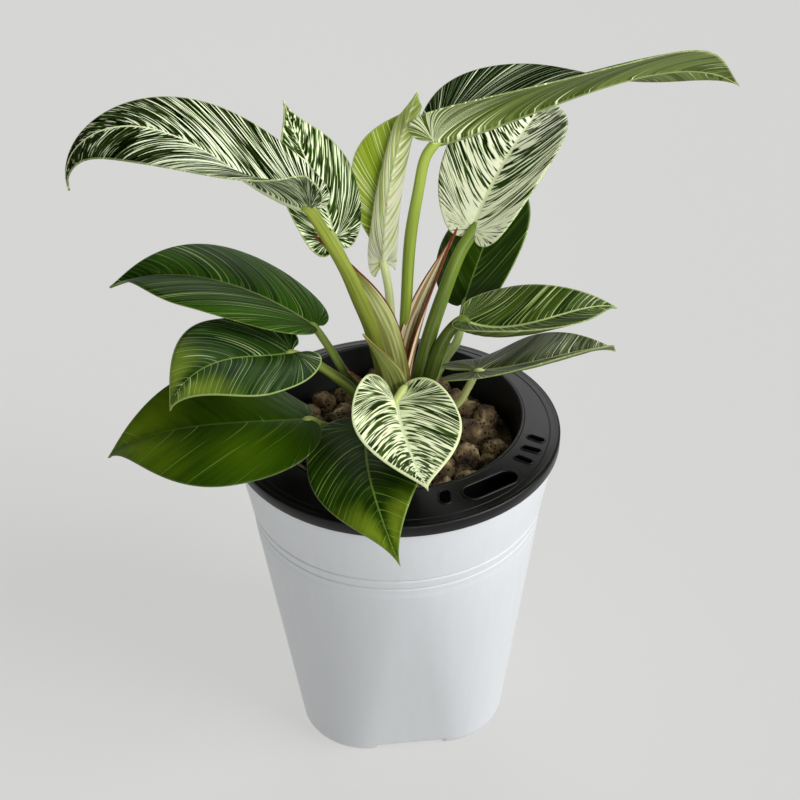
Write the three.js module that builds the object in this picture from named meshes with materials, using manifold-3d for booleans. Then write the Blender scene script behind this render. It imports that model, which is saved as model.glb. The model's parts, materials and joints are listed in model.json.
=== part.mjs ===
// A philodendron birkin in its self-watering pot: a white pot, a black planting basket that
// hangs in it by a broad flange, a fill of clay granules, a short stem and thirteen leaves, each
// a blade on a petiole, with the dry sheaths that the leaves came out of.
// Millimetres, +Z up, origin at the middle of the pot's flat underside, front of the pot at -Y.

import * as THREE from "three";
import { mergeVertices } from "three/addons/utils/BufferGeometryUtils.js";
import Module from "manifold-3d";

const wasm = await Module();
wasm.setup();

// ------------------------------------------------------------------- driving dimensions

// Clearance between two pieces that touch.
const GAP = 0.3;

// The pot: round at the rim, going over to a square with well rounded corners at the foot.
const POT = {
  wall: 2.2,
  floor: 6.5,
  rimHeight: 181.9,
  rimRadius: 83.05, // inside the flange's lip
  shoulderHeight: 177.6,
  shoulderRadius: 83.4, // just below the lip
  footHalfWidth: 57.9,
  footCorner: 37,
  roundFrom: 133, // the section is a full circle above this height
  stepHeight: 133,
  stepDepth: 0.5,
  grooves: [138, 144],
  grooveWidth: 1.2,
  grooveDepth: 0.7,
  footRound: 1.6,
  turn: 6, // degrees that the flat sides are turned about Z
  sides: 48,
};
const NOTCH = { width: 37, height: 4, depth: 3.5 };

// The planting basket.
const FLANGE = { radius: 85, top: 184, plate: 1.8, lipBottom: 178, lipWall: 1.6 };
const BASKET = {
  centre: [-0.6, 10.8],
  mouthRadius: 67.4,
  wall: 1.6,
  floorTop: 46.6,
  floorRadius: 48.4,
  wellRadius: 15,
  wellBottom: 7.2,
};
const WICK_SLOT = { count: 4, width: 3, height: 20, bottom: 12 };

// Openings in the flange, each a round-ended slot from one end to the other.
const FILL_SLOT = { from: [32.2, -62.4], to: [58.6, -45.4], width: 11 };
const VENTS = [
  { from: [66.9, -13.8], to: [75.2, -19.2], width: 4 },
  { from: [62.9, -23.1], to: [72.4, -27.9], width: 4 },
  { from: [58.9, -30.9], to: [67.4, -36.8], width: 4 },
];
const HANG_HOLE = { from: [23.2, -68.2], to: [23.2, -57.6], width: 6 };

// The granules.
const FILL_TOP = 163;
const PEBBLE = {
  spacing: 16,
  jitter: 2.2,
  radius: [7.8, 9.4],
  squash: [0.72, 0.95],
  height: [162.5, 165.5],
  reach: 58,
};
const GRANULE_SEED = 7;

// The stem that carries the petioles.
const CROWN = {
  centre: [1, 11],
  radius: 12,
  bottom: 140,
  shoulder: 178,
  topRadius: 8.4,
  topEdge: 184,
  top: 186,
};

// Blade thickness: at the margin, and what the midrib adds at the base. The rows of the grid
// slant forward from the midrib, and its columns stand closer together near it.
const BLADE = {
  margin: 0.85,
  midrib: 0.9,
  rows: 14,
  baseRow: 1,
  columns: 3,
  slant: 0.8,
  crowding: 1.2,
};

const STEM_SIDES = 6;
const STEM_STEP = 15; // spacing of the rings along a petiole
const MIDRIB_STEPS = 48;
const TURNED_SIDES = 48; // round the flange, the basket and the crown

// ------------------------------------------------------------------------------- leaves
//
// junction   where the petiole meets the blade
// heading    compass direction of the midrib in the XY plane, at its base and tip
// climb      its angle above the horizon, as a quadratic Bezier from base to tip
// roll       turn of the blade about its midrib, at base and tip
// length, width, lobe   midrib length, full width, and how far the lobes reach back
// widest     where the blade is widest, as a share of the length
// left, right   the halves as seen from above looking along the midrib: fold is the angle at
//            which the half leaves the midrib, at base and tip, and curl the angle that it
//            bends through on the way to the margin; a rolled leaf bends over curlReach of
//            that way only, less towards the tip by curlTaper, and breadth narrows a half
// rows, columns   the grid of triangles on a blade, and baseRow the row that is its base edge
// route      points on the petiole between stem and junction, with its radius there

const LEAVES = [
  {
    name: "a",
    junction: [-35.9, -27.9, 317.3],
    heading: [170, 193],
    climb: [11, 95, -101],
    roll: [8, -17],
    length: 131,
    width: 88,
    lobe: 6.5,
    widest: 0.25,
    left: { fold: [49, -26], curl: -13 },
    right: { fold: [1, -14], curl: 20 },
    route: [
      [-2, 8, 172, 5.4],
      [-5, 1, 214, 5.2],
      [-10, -3, 241, 4.9],
      [-16, -8, 261, 4.3],
      [-22, -14, 280, 3.4],
      [-29, -20, 298, 2.9],
    ],
  },
  {
    name: "b",
    junction: [-28.7, 12, 283.7],
    heading: [124, 150],
    climb: [76, 35, 81],
    roll: [7, -10],
    length: 68,
    width: 47,
    lobe: 7.9,
    widest: 0.38,
    left: { fold: [15, 11], curl: -9 },
    right: { fold: [7, 17], curl: -25 },
    route: [
      [-4, 13, 172, 2.8],
      [-8, 13, 212, 2.8],
      [-12, 13, 237, 2.8],
      [-21, 12, 263, 2.5],
    ],
  },
  {
    name: "c",
    junction: [-6, 60, 246],
    heading: [-66, -50],
    climb: [84, 71, 62],
    roll: [-12, -54],
    length: 109,
    width: 82,
    lobe: 11,
    widest: 0.38,
    left: { fold: [0, 8], curl: 162, curlReach: 0.6, curlTaper: 0.5 },
    right: { fold: [5, 5], curl: 150, curlReach: 0.45, curlTaper: 0.5, breadth: 0.32 },
    rows: 16,
    baseRow: 2,
    columns: 6,
    route: [
      [0, 17, 172, 3],
      [-1, 26, 200, 2.8],
      [-2, 37, 217, 2.6],
      [-3, 50, 233, 2.3],
    ],
  },
  {
    name: "d",
    junction: [19.6, 17.9, 329.1],
    heading: [-9, 33],
    climb: [17, 35, -36],
    roll: [-3, -45],
    length: 160,
    width: 101,
    lobe: 8.8,
    widest: 0.3,
    left: { fold: [23, -6], curl: 13 },
    right: { fold: [48, -5], curl: -31 },
    columns: 4,
    route: [
      [5, 8, 172, 3.4],
      [5, 12, 205, 3.2],
      [5, 13, 226, 3],
      [6, 14, 248, 2.9],
      [8, 16, 280, 3],
      [12, 16, 306, 2.7],
      [15, 17, 321, 2.6],
    ],
  },
  {
    name: "e",
    junction: [40, 42, 272.7],
    heading: [44, 69],
    climb: [63, 23, -2],
    roll: [-6, 0],
    length: 99,
    width: 69,
    lobe: 7,
    widest: 0.38,
    left: { fold: [4, 19], curl: -5 },
    right: { fold: [11, 20], curl: 10 },
    route: [
      [6, 13, 172, 5],
      [13, 17, 201, 4.8],
      [18, 23, 222, 3.9],
      [25, 30, 242, 3.6],
      [33, 37, 261, 3.3],
    ],
  },
  {
    name: "f",
    junction: [37.6, 62, 218.4],
    heading: [52, 79],
    climb: [64, 25, 20],
    roll: [-12, -18],
    length: 92,
    width: 62,
    lobe: 3.3,
    widest: 0.34,
    left: { fold: [6, 1], curl: -16 },
    right: { fold: [17, 12], curl: 1 },
    route: [
      [6, 16, 172, 3.2],
      [22, 31, 194, 3],
      [28, 39, 200, 2.7],
      [33, 45, 204, 2.4],
      [36, 53, 210, 2.1],
    ],
  },
  {
    name: "g",
    junction: [34.9, 22, 232.1],
    heading: [-21, 33],
    climb: [-20, 54, -32],
    roll: [12, 27],
    length: 86,
    width: 50,
    lobe: 4,
    widest: 0.25,
    left: { fold: [17, 25], curl: -17 },
    right: { fold: [6, 11], curl: 68 },
    route: [
      [7, 10, 172, 3.5],
      [17, 12, 200, 3.6],
      [22, 16, 216, 3.6],
      [28, 20, 226, 3.1],
    ],
  },
  {
    name: "h",
    junction: [40.6, -8, 220.1],
    heading: [-1, 52],
    climb: [5, 11, -37],
    roll: [-21, -6],
    length: 89,
    width: 54,
    lobe: 18,
    widest: 0.32,
    left: { fold: [14, 29], curl: -22 },
    right: { fold: [-7, 27], curl: 23 },
    route: [
      [7, 6, 170, 2.6],
      [20, 3, 184, 2.3],
      [32, 0, 195, 2.1],
      [37, -3, 207, 2],
    ],
  },
  {
    name: "i",
    junction: [0.3, -24, 212.4],
    heading: [-84, -73],
    climb: [-4, 2, 3],
    roll: [-8, -9],
    length: 71,
    width: 56,
    lobe: 12.1,
    widest: 0.36,
    left: { fold: [31, -8], curl: 15 },
    right: { fold: [46, 0], curl: -17 },
    route: [
      [3, 4, 172, 2.9],
      [6, -5, 192, 2.7],
      [6, -11, 209, 2.5],
      [4, -17, 215, 2.2],
    ],
  },
  {
    name: "j",
    junction: [-14.2, -28, 199.1],
    heading: [-93, -67],
    climb: [8, 5, -28],
    roll: [-3, 22],
    length: 95,
    width: 57,
    lobe: 11.9,
    widest: 0.31,
    left: { fold: [2, 12], curl: -11 },
    right: { fold: [5, -3], curl: -15 },
    route: [
      [-1, 5, 168, 2.7],
      [-6, -4, 182, 2.4],
      [-11, -16, 191, 2.3],
    ],
  },
  {
    name: "k",
    junction: [-42.4, -22, 201.8],
    heading: [197, 162],
    climb: [8, 3, -48],
    roll: [2, -29],
    length: 112,
    width: 75,
    lobe: 4,
    widest: 0.35,
    left: { fold: [3, 7], curl: -25 },
    right: { fold: [1, 23], curl: -14 },
    route: [
      [-5, 7, 168, 2.7],
      [-26, -6, 183, 2.4],
      [-36, -15, 192, 2.3],
    ],
  },
  {
    name: "l",
    junction: [-50.6, -5, 230.1],
    heading: [218, 220],
    climb: [8, 51, -74],
    roll: [3, -6],
    length: 78,
    width: 63,
    lobe: 9,
    widest: 0.4,
    left: { fold: [9, -7], curl: -18 },
    right: { fold: [30, -1], curl: -16 },
    route: [
      [-5, 9, 172, 3.3],
      [-16, 5, 192, 3.1],
      [-24, 3, 204, 2.9],
      [-33, 1, 214, 2.5],
      [-41, -2, 222, 2.3],
    ],
  },
  {
    name: "m",
    junction: [-39.6, 12, 234.5],
    heading: [157, 168],
    climb: [27, 9, -29],
    roll: [12, -4],
    length: 121,
    width: 71,
    lobe: 3.9,
    widest: 0.49,
    left: { fold: [15, 31], curl: -42 },
    right: { fold: [18, 35], curl: -47 },
    route: [
      [-5, 14, 170, 2.6],
      [-16, 13, 190, 2.4],
      [-25, 12, 205, 2.3],
      [-33, 12, 221, 2.1],
    ],
  },
];

// The sheaths are narrow blades folded about the stem: they have no lobes and no petiole.
const SHEATHS = [
  {
    name: "left",
    junction: [0, 1, 186],
    heading: [-150, -155],
    climb: [78, 84, 50],
    roll: [0, 0],
    length: 122,
    width: 27,
    lobe: 3,
    widest: 0.45,
    left: { fold: [38, 30], curl: 45 },
    right: { fold: [38, 30], curl: 45 },
    rows: 10,
    baseRow: 0,
    columns: 2,
  },
  {
    name: "right",
    junction: [4, 4, 188],
    heading: [30, 38],
    climb: [85, 72, 56],
    roll: [0, 0],
    length: 102,
    width: 17,
    lobe: 3,
    widest: 0.4,
    left: { fold: [35, 20], curl: 40 },
    right: { fold: [35, 20], curl: 40 },
    rows: 10,
    baseRow: 0,
    columns: 2,
  },
  {
    name: "front",
    junction: [-2, -2, 188],
    heading: [-110, -158],
    climb: [86, 74, 60],
    roll: [0, 0],
    length: 60,
    width: 20,
    lobe: 3,
    widest: 0.5,
    left: { fold: [12, 20], curl: 30 },
    right: { fold: [12, 20], curl: 30 },
    rows: 10,
    baseRow: 0,
    columns: 2,
  },
  {
    name: "dry",
    junction: [-8, 4, 184],
    heading: [-165, -148],
    climb: [70, 72, 48],
    roll: [0, 0],
    length: 38,
    width: 9,
    lobe: 3,
    widest: 0.4,
    left: { fold: [30, 30], curl: 20 },
    right: { fold: [30, 30], curl: 20 },
    rows: 10,
    baseRow: 0,
    columns: 2,
  },
];

// ---------------------------------------------------------------------------- materials

function plastic(color, roughness) {
  return new THREE.MeshStandardMaterial({ color, roughness, metalness: 0 });
}

const POT_PLASTIC = plastic("#e9edf2", 0.4);
const BASKET_PLASTIC = plastic("#1d1f22", 0.45);
const CLAY = plastic("#5b4a3d", 0.95);
const STEM_GREEN = plastic("#5f7a3a", 0.55);
const PETIOLE_GREEN = plastic("#7f9a4a", 0.5);
const SHEATH_BROWN = plastic("#a08a66", 0.7);
const BLADE_GREENS = {
  a: plastic("#7f9a6c", 0.35),
  b: plastic("#7f9a6c", 0.35),
  c: plastic("#b9c877", 0.4),
  d: plastic("#3d5b34", 0.35),
  e: plastic("#c3cda9", 0.4),
  f: plastic("#233a22", 0.35),
  g: plastic("#4e7340", 0.35),
  h: plastic("#33472f", 0.35),
  i: plastic("#5f7f4b", 0.35),
  j: plastic("#2f4d28", 0.35),
  k: plastic("#2c4a25", 0.3),
  l: plastic("#3a5a2c", 0.3),
  m: plastic("#33522e", 0.35),
};

// --------------------------------------------------------------------- shape and solids

const deg = THREE.MathUtils.degToRad;
const vec = (x, y, z) => new THREE.Vector3(x, y, z);
const mix = ([start, end], t) => start + (end - start) * t;
const bezier2 = ([p, q, r], t) => (1 - t) ** 2 * p + 2 * t * (1 - t) * q + t * t * r;

// A repeatable random number from 0 to 1, and one from a range.
function randomSource(seed) {
  let state = seed;
  return () => {
    state = (Math.imul(state, 1664525) + 1013904223) >>> 0;
    return state / 2 ** 32;
  };
}
const between = (random, range) => mix(range, random());

// A closed three.js geometry as a solid that can be cut and joined.
function solid(geometry) {
  const bare = geometry.clone();
  bare.deleteAttribute("normal");
  bare.deleteAttribute("uv");
  const merged = mergeVertices(bare, 1e-3);
  return new wasm.Manifold(
    new wasm.Mesh({
      numProp: 3,
      vertProperties: new Float32Array(merged.attributes.position.array),
      triVerts: new Uint32Array(merged.index.array),
    }),
  );
}

// A cut can leave scraps: the piece is the largest body that is left.
function largest(body) {
  const pieces = body.decompose();
  return pieces.reduce((best, piece) => (piece.volume() > best.volume() ? piece : best));
}

function geometryOf(body) {
  const mesh = body.getMesh();
  const geometry = new THREE.BufferGeometry();
  geometry.setAttribute("position", new THREE.BufferAttribute(mesh.vertProperties, 3));
  geometry.setIndex(new THREE.BufferAttribute(mesh.triVerts, 1));
  geometry.computeVertexNormals();
  return geometry;
}

function meshOf(name, body, material) {
  const mesh = new THREE.Mesh(geometryOf(body), material);
  mesh.name = name;
  return mesh;
}

// A geometry from points and triangles, leaving out triangles with two corners in one place.
function triangles(points, faces) {
  const geometry = new THREE.BufferGeometry();
  const corners = [];
  for (const face of faces) {
    const [p, q, r] = face.map((index) => points[index]);
    const flat = [p.distanceTo(q), q.distanceTo(r), r.distanceTo(p)].some((d) => d < 2e-3);
    if (!flat) {
      corners.push(p, q, r);
    }
  }
  geometry.setFromPoints(corners);
  return geometry;
}

// A solid from rings of equally many points, each end closed by a fan about its middle.
function lofted(rings) {
  const sides = rings[0].length;
  const points = rings.flat();
  const middle = (ring) =>
    ring.reduce((sum, p) => sum.add(p), vec(0, 0, 0)).divideScalar(sides);
  const first = points.push(middle(rings[0])) - 1;
  const last = points.push(middle(rings.at(-1))) - 1;
  const top = (rings.length - 1) * sides;
  const faces = [];
  for (let side = 0; side < sides; side++) {
    const next = (side + 1) % sides;
    for (let ring = 0; ring < rings.length - 1; ring++) {
      const low = ring * sides;
      const high = low + sides;
      faces.push([low + side, low + next, high + next], [low + side, high + next, high + side]);
    }
    faces.push([first, next, side], [last, top + side, top + next]);
  }
  return solid(triangles(points, faces));
}

// A solid of revolution about a vertical axis: the profile runs from the axis at the bottom,
// outward and up, and back to the axis, as [radius, height].
function turned(profile, [x, y]) {
  const geometry = new THREE.LatheGeometry(
    profile.map(([radius, height]) => new THREE.Vector2(radius, height)),
    TURNED_SIDES,
  );
  geometry.rotateX(Math.PI / 2);
  geometry.translate(x, y, 0);
  return solid(geometry);
}

// ---------------------------------------------------------------------------------- pot

// Half width of the pot's outer section at a height, before grooves and step.
function potHalfWidth(height) {
  const { footHalfWidth, shoulderRadius, shoulderHeight } = POT;
  return footHalfWidth + ((shoulderRadius - footHalfWidth) * height) / shoulderHeight;
}

// One ring of the pot: a square of a half width with rounded corners, inset by some depth.
function potRing(height, inset, halfWidth = potHalfWidth(height)) {
  const share = Math.min(1, height / POT.roundFrom);
  const roundRadius = potHalfWidth(POT.roundFrom);
  const corner = height >= POT.roundFrom ? halfWidth : mix([POT.footCorner, roundRadius], share);
  const reach = halfWidth - corner;
  const ring = [];
  for (let side = 0; side < POT.sides; side++) {
    const angle = (side / POT.sides) * 2 * Math.PI;
    const folded = Math.abs(((angle + Math.PI / 4) % (Math.PI / 2)) - Math.PI / 4);
    let radius = halfWidth / Math.cos(folded);
    if (radius * Math.sin(folded) > reach) {
      const along = reach * (Math.cos(folded) + Math.sin(folded));
      radius = along + Math.sqrt(corner ** 2 - 2 * reach ** 2 + along ** 2);
    }
    const turn = angle + deg(POT.turn);
    const outer = radius - inset;
    ring.push(vec(outer * Math.cos(turn), outer * Math.sin(turn), height));
  }
  return ring;
}

// A step in the wall's face: two rings this far apart in height.
const EDGE = 0.4;

function buildPot() {
  const { wall, floor, footRound, stepHeight, stepDepth, shoulderHeight, rimHeight } = POT;
  const rings = [potRing(0, footRound), potRing(footRound, 0)];
  rings.push(potRing(stepHeight / 2, 0), potRing(stepHeight - EDGE, 0));
  rings.push(potRing(stepHeight + EDGE, stepDepth));
  for (const height of POT.grooves) {
    const half = POT.grooveWidth / 2;
    rings.push(potRing(height - half, stepDepth));
    rings.push(potRing(height, stepDepth + POT.grooveDepth));
    rings.push(potRing(height + half, stepDepth));
  }
  rings.push(potRing(shoulderHeight, 0));
  rings.push(potRing(shoulderHeight + EDGE / 2, 0, POT.rimRadius));
  rings.push(potRing(rimHeight, 0, POT.rimRadius));
  rings.push(potRing(rimHeight, wall, POT.rimRadius));
  for (const height of [stepHeight, stepHeight / 2, floor]) {
    rings.push(potRing(height, wall + stepDepth));
  }
  let body = lofted(rings);
  for (let side = 0; side < 4; side++) {
    const notch = new THREE.BoxGeometry(2 * NOTCH.depth, NOTCH.width, 2 * NOTCH.height);
    notch.translate(POT.footHalfWidth, 0, 0);
    notch.rotateZ(deg(POT.turn + 90 * side));
    body = body.subtract(solid(notch));
  }
  return body;
}

// ------------------------------------------------------------------------------- basket

// Outline of a round-ended slot, and the cutter that it makes through a plate.
function slotCutter({ from, to, width }, bottom, top) {
  const start = new THREE.Vector2(...from);
  const end = new THREE.Vector2(...to);
  const angle = end.clone().sub(start).angle();
  const inner = start.distanceTo(end) - width / 2;
  const shape = new THREE.Shape();
  shape.absarc(inner, 0, width / 2, -Math.PI / 2, Math.PI / 2);
  shape.absarc(width / 2, 0, width / 2, Math.PI / 2, 1.5 * Math.PI);
  const geometry = new THREE.ExtrudeGeometry(shape, {
    depth: top - bottom,
    bevelEnabled: false,
    curveSegments: 6,
  });
  geometry.rotateZ(angle);
  geometry.translate(start.x, start.y, bottom);
  return solid(geometry);
}

// The basket's inner radius at a height.
function basketRadius(height) {
  const { mouthRadius, floorRadius, floorTop } = BASKET;
  const share = (height - floorTop) / (FLANGE.top - floorTop);
  return mix([floorRadius, mouthRadius], share);
}

// The basket's inner space up to a height, drawn in by a clearance: the mould of the granules.
function basketInside(top, clearance) {
  const { floorTop, wellRadius, wellBottom, wall, centre } = BASKET;
  const floor = floorTop + clearance;
  return turned(
    [
      [0, wellBottom + wall + clearance],
      [wellRadius - wall - clearance, wellBottom + wall + clearance],
      [wellRadius - wall - clearance, floor],
      [basketRadius(floor) - clearance, floor],
      [basketRadius(top) - clearance, top],
      [0, top],
    ],
    centre,
  );
}

function buildLiner() {
  const { radius, top, plate, lipBottom, lipWall } = FLANGE;
  const { floorTop, floorRadius, mouthRadius, wellRadius, wellBottom, wall, centre } = BASKET;
  const disc = (reach, low, high) =>
    turned([[0, low], [reach, low], [reach, high], [0, high]], [0, 0]);
  const underside = disc(radius - lipWall, lipBottom - 1, top - plate);
  const flange = disc(radius, lipBottom, top).subtract(underside);
  const outside = turned(
    [
      [0, wellBottom],
      [wellRadius, wellBottom],
      [wellRadius, floorTop - wall],
      [floorRadius + wall, floorTop - wall],
      [mouthRadius + wall, top],
      [0, top],
    ],
    centre,
  );
  let body = flange.add(outside).subtract(basketInside(top + 1, 0));
  body = body.subtract(slotCutter(FILL_SLOT, lipBottom, top + 1));
  for (const opening of [...VENTS, HANG_HOLE]) {
    body = body.subtract(slotCutter(opening, lipBottom, top + 1));
  }
  for (let slot = 0; slot < WICK_SLOT.count; slot++) {
    const cutter = new THREE.BoxGeometry(wellRadius, WICK_SLOT.width, WICK_SLOT.height);
    cutter.translate(wellRadius, 0, WICK_SLOT.bottom + WICK_SLOT.height / 2);
    cutter.rotateZ((slot / WICK_SLOT.count) * 2 * Math.PI);
    cutter.translate(...centre, 0);
    body = body.subtract(solid(cutter));
  }
  return body;
}

// ---------------------------------------------------------------------- granules, crown

// The crown, grown by a clearance where it is used as a cutter.
function crownSolid(clearance) {
  const { radius, bottom, shoulder, topRadius, topEdge, top, centre } = CROWN;
  return turned(
    [
      [0, bottom - clearance],
      [radius + clearance, bottom - clearance],
      [radius + clearance, shoulder + clearance],
      [topRadius + clearance, topEdge + clearance],
      [0, top + clearance],
    ],
    centre,
  );
}

// One solid fill of the basket, with pebbles sunk in its top on a loose triangular grid.
function buildGranules(cutters) {
  const random = randomSource(GRANULE_SEED);
  const [centreX, centreY] = BASKET.centre;
  const rowHeight = (PEBBLE.spacing * Math.sqrt(3)) / 2;
  const rows = Math.ceil(PEBBLE.reach / rowHeight);
  const pebbles = [];
  for (let row = -rows; row <= rows; row++) {
    for (let place = -rows; place <= rows; place++) {
      const x = (place + (row % 2) / 2) * PEBBLE.spacing + PEBBLE.jitter * (2 * random() - 1);
      const y = row * rowHeight + PEBBLE.jitter * (2 * random() - 1);
      const geometry = new THREE.IcosahedronGeometry(between(random, PEBBLE.radius), 0);
      geometry.rotateX(random() * Math.PI);
      geometry.rotateY(random() * Math.PI);
      geometry.scale(1, 1, between(random, PEBBLE.squash));
      geometry.translate(centreX + x, centreY + y, between(random, PEBBLE.height));
      if (Math.hypot(x, y) < PEBBLE.reach) {
        pebbles.push(solid(geometry));
      }
    }
  }
  const heap = wasm.Manifold.union(pebbles).intersect(basketInside(FLANGE.top, GAP));
  let body = basketInside(FILL_TOP, GAP).add(heap);
  for (const cutter of cutters) {
    body = body.subtract(cutter);
  }
  return largest(body);
}

// ------------------------------------------------------------------------------- blades

// The midrib: a function from the distance along it to a point and the directions along the
// midrib, out to the left half, and out of the upper face.
function midribOf(leaf) {
  const heading = (t) => deg(mix(leaf.heading, t));
  const direction = (t) => {
    const climb = deg(bezier2(leaf.climb, t));
    const level = Math.cos(climb);
    return vec(level * Math.cos(heading(t)), level * Math.sin(heading(t)), Math.sin(climb));
  };
  const step = leaf.length / MIDRIB_STEPS;
  const chain = [vec(...leaf.junction)];
  for (let index = 0; index < MIDRIB_STEPS; index++) {
    const along = direction((index + 0.5) / MIDRIB_STEPS);
    chain.push(chain[index].clone().addScaledVector(along, step));
  }
  return (x) => {
    const t = THREE.MathUtils.clamp(x / leaf.length, 0, 1);
    const along = direction(t);
    const flat = vec(-Math.sin(heading(t)), Math.cos(heading(t)), 0);
    const up = along.clone().cross(flat);
    const roll = deg(mix(leaf.roll, t));
    const left = flat.clone().multiplyScalar(Math.cos(roll)).addScaledVector(up, Math.sin(roll));
    const face = up.clone().multiplyScalar(Math.cos(roll)).addScaledVector(flat, -Math.sin(roll));
    const index = Math.min(Math.floor(t * MIDRIB_STEPS), MIDRIB_STEPS - 1);
    const point = chain[index].clone().lerp(chain[index + 1], t * MIDRIB_STEPS - index);
    point.addScaledVector(along, Math.min(x, 0));
    return { point, left, face };
  };
}

// The point of the upper face at a distance x along the midrib and y out to the left of it.
function facePoint(leaf, midrib, x, y) {
  const half = y > 0 ? leaf.left : leaf.right;
  const { curlReach = 1, curlTaper = 0, breadth = 1 } = half;
  const t = THREE.MathUtils.clamp(x / leaf.length, 0, 1);
  const out = Math.abs(y) * breadth;
  const bendWidth = ((curlReach * leaf.width) / 2) * (1 - curlTaper * t);
  const bent = Math.min(out, bendWidth);
  const straight = out - bent;
  const fold = deg(mix(half.fold, t));
  const bend = deg(half.curl) / bendWidth;
  const end = fold + bend * bent;
  const lateral = (Math.sin(end) - Math.sin(fold)) / bend + straight * Math.cos(end);
  const rise = (Math.cos(fold) - Math.cos(end)) / bend + straight * Math.sin(end);
  const { point, left, face } = midrib(x);
  return point.addScaledVector(left, Math.sign(y) * lateral).addScaledVector(face, rise);
}

// Half of the flat heart-shaped outline: from the base edge round the lobe to the widest
// place, and from there to the drawn-out tip.
function halfOutline(leaf) {
  const { length, width, lobe } = leaf;
  const side = width / 2;
  const widest = leaf.widest * length;
  const rest = length - widest;
  const vec2 = (x, y) => new THREE.Vector2(x, y);
  const back = new THREE.CubicBezierCurve(
    vec2(0, 0),
    vec2(-2 * lobe, 0.2 * side),
    vec2(-0.6 * lobe, side),
    vec2(widest, side),
  );
  const front = new THREE.CubicBezierCurve(
    vec2(widest, side),
    vec2(widest + 0.45 * rest, side),
    vec2(length - 0.28 * rest, 0.1 * side),
    vec2(length, 0),
  );
  const half = (leaf.rows ?? BLADE.rows) / 2;
  const outline = [...back.getPoints(half), ...front.getPoints(half).slice(1)];
  return outline.slice(leaf.baseRow ?? BLADE.baseRow);
}

// The upper face as points and triangles, with the margin as a closed loop of point numbers.
function upperFace(leaf) {
  const midrib = midribOf(leaf);
  const outline = halfOutline(leaf);
  const columns = leaf.columns ?? BLADE.columns;
  const points = [];
  const shares = [];
  const numbers = new Map();
  const numberAt = (x, y) => {
    const key = `${x.toFixed(3)} ${y.toFixed(3)}`;
    if (!numbers.has(key)) {
      numbers.set(key, points.push(facePoint(leaf, midrib, x, y)) - 1);
      shares.push({ x, out: Math.abs(y) / (leaf.width / 2) });
    }
    return numbers.get(key);
  };
  const faces = [];
  const margins = [];
  for (const side of [1, -1]) {
    const grid = outline.map((edge) => {
      const start = Math.max(0, edge.x - BLADE.slant * edge.y);
      const row = [];
      for (let column = 0; column <= columns; column++) {
        const u = column / columns;
        row.push(numberAt(mix([start, edge.x], u ** BLADE.crowding), side * edge.y * u));
      }
      return row;
    });
    for (let row = 0; row < grid.length - 1; row++) {
      for (let column = 0; column < columns; column++) {
        const near = grid[row][column];
        const out = grid[row][column + 1];
        const far = grid[row + 1][column];
        const corner = grid[row + 1][column + 1];
        const pair = [[near, far, corner], [near, corner, out]];
        faces.push(...(side > 0 ? pair : pair.map((face) => face.toReversed())));
      }
    }
    const edge = [...grid[0], ...grid.slice(1).map((row) => row[columns])];
    margins.push(edge.filter((number, place) => number !== edge[place - 1]));
  }
  const whole = faces.filter(([p, q, r]) => p !== q && q !== r && r !== p);
  const margin = [...margins[1], ...margins[0].toReversed().slice(1, -1)];
  return { points, shares, faces: whole, margin };
}

// Directions out of the face at each point, made longer where the face is folded so that a
// shift along them moves each neighbouring triangle by its full distance.
function shiftDirections(points, faces) {
  const sums = points.map(() => vec(0, 0, 0));
  const normals = faces.map(([p, q, r]) => {
    const normal = new THREE.Triangle(points[p], points[q], points[r]).getNormal(vec(0, 0, 0));
    for (const index of [p, q, r]) {
      const [next, last] = index === p ? [q, r] : index === q ? [r, p] : [p, q];
      const one = points[next].clone().sub(points[index]);
      const two = points[last].clone().sub(points[index]);
      sums[index].addScaledVector(normal, one.angleTo(two));
    }
    return normal;
  });
  const unit = sums.map((sum) => sum.normalize());
  const least = points.map(() => 1);
  faces.forEach((face, number) => {
    for (const index of face) {
      least[index] = Math.min(least[index], normals[number].dot(unit[index]));
    }
  });
  return unit.map((direction, index) => direction.divideScalar(Math.max(least[index], 0.6)));
}

// The blade as a solid. As a cutter it is grown by a clearance on both faces and at the margin.
function bladeSolid(leaf, clearance = 0) {
  const { points, shares, faces, margin } = upperFace(leaf);
  const directions = shiftDirections(points, faces);
  const count = points.length;
  const outward = margin.map((index, i) => {
    const along = points[margin[(i + 1) % margin.length]].clone().sub(points[margin.at(i - 1)]);
    return along.cross(directions[index]).setLength(2 * clearance);
  });
  margin.forEach((index, i) => points[index].add(outward[i]));
  const upper = points.map((p, i) => p.clone().addScaledVector(directions[i], clearance));
  const lower = points.map((p, i) => {
    const { x, out } = shares[i];
    const alongRib = 1 - THREE.MathUtils.clamp(x / leaf.length, 0, 1);
    const thickness = BLADE.margin + BLADE.midrib * (1 - Math.min(out, 1)) ** 4 * alongRib;
    return p.clone().addScaledVector(directions[i], -thickness - clearance);
  });
  const under = faces.map(([p, q, r]) => [r + count, q + count, p + count]);
  const rim = margin.flatMap((start, i) => {
    const end = margin[(i + 1) % margin.length];
    return [[end, start, start + count], [end, start + count, end + count]];
  });
  return solid(triangles([...upper, ...lower], [...faces, ...under, ...rim]));
}

// ----------------------------------------------------------------------------- petioles

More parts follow.
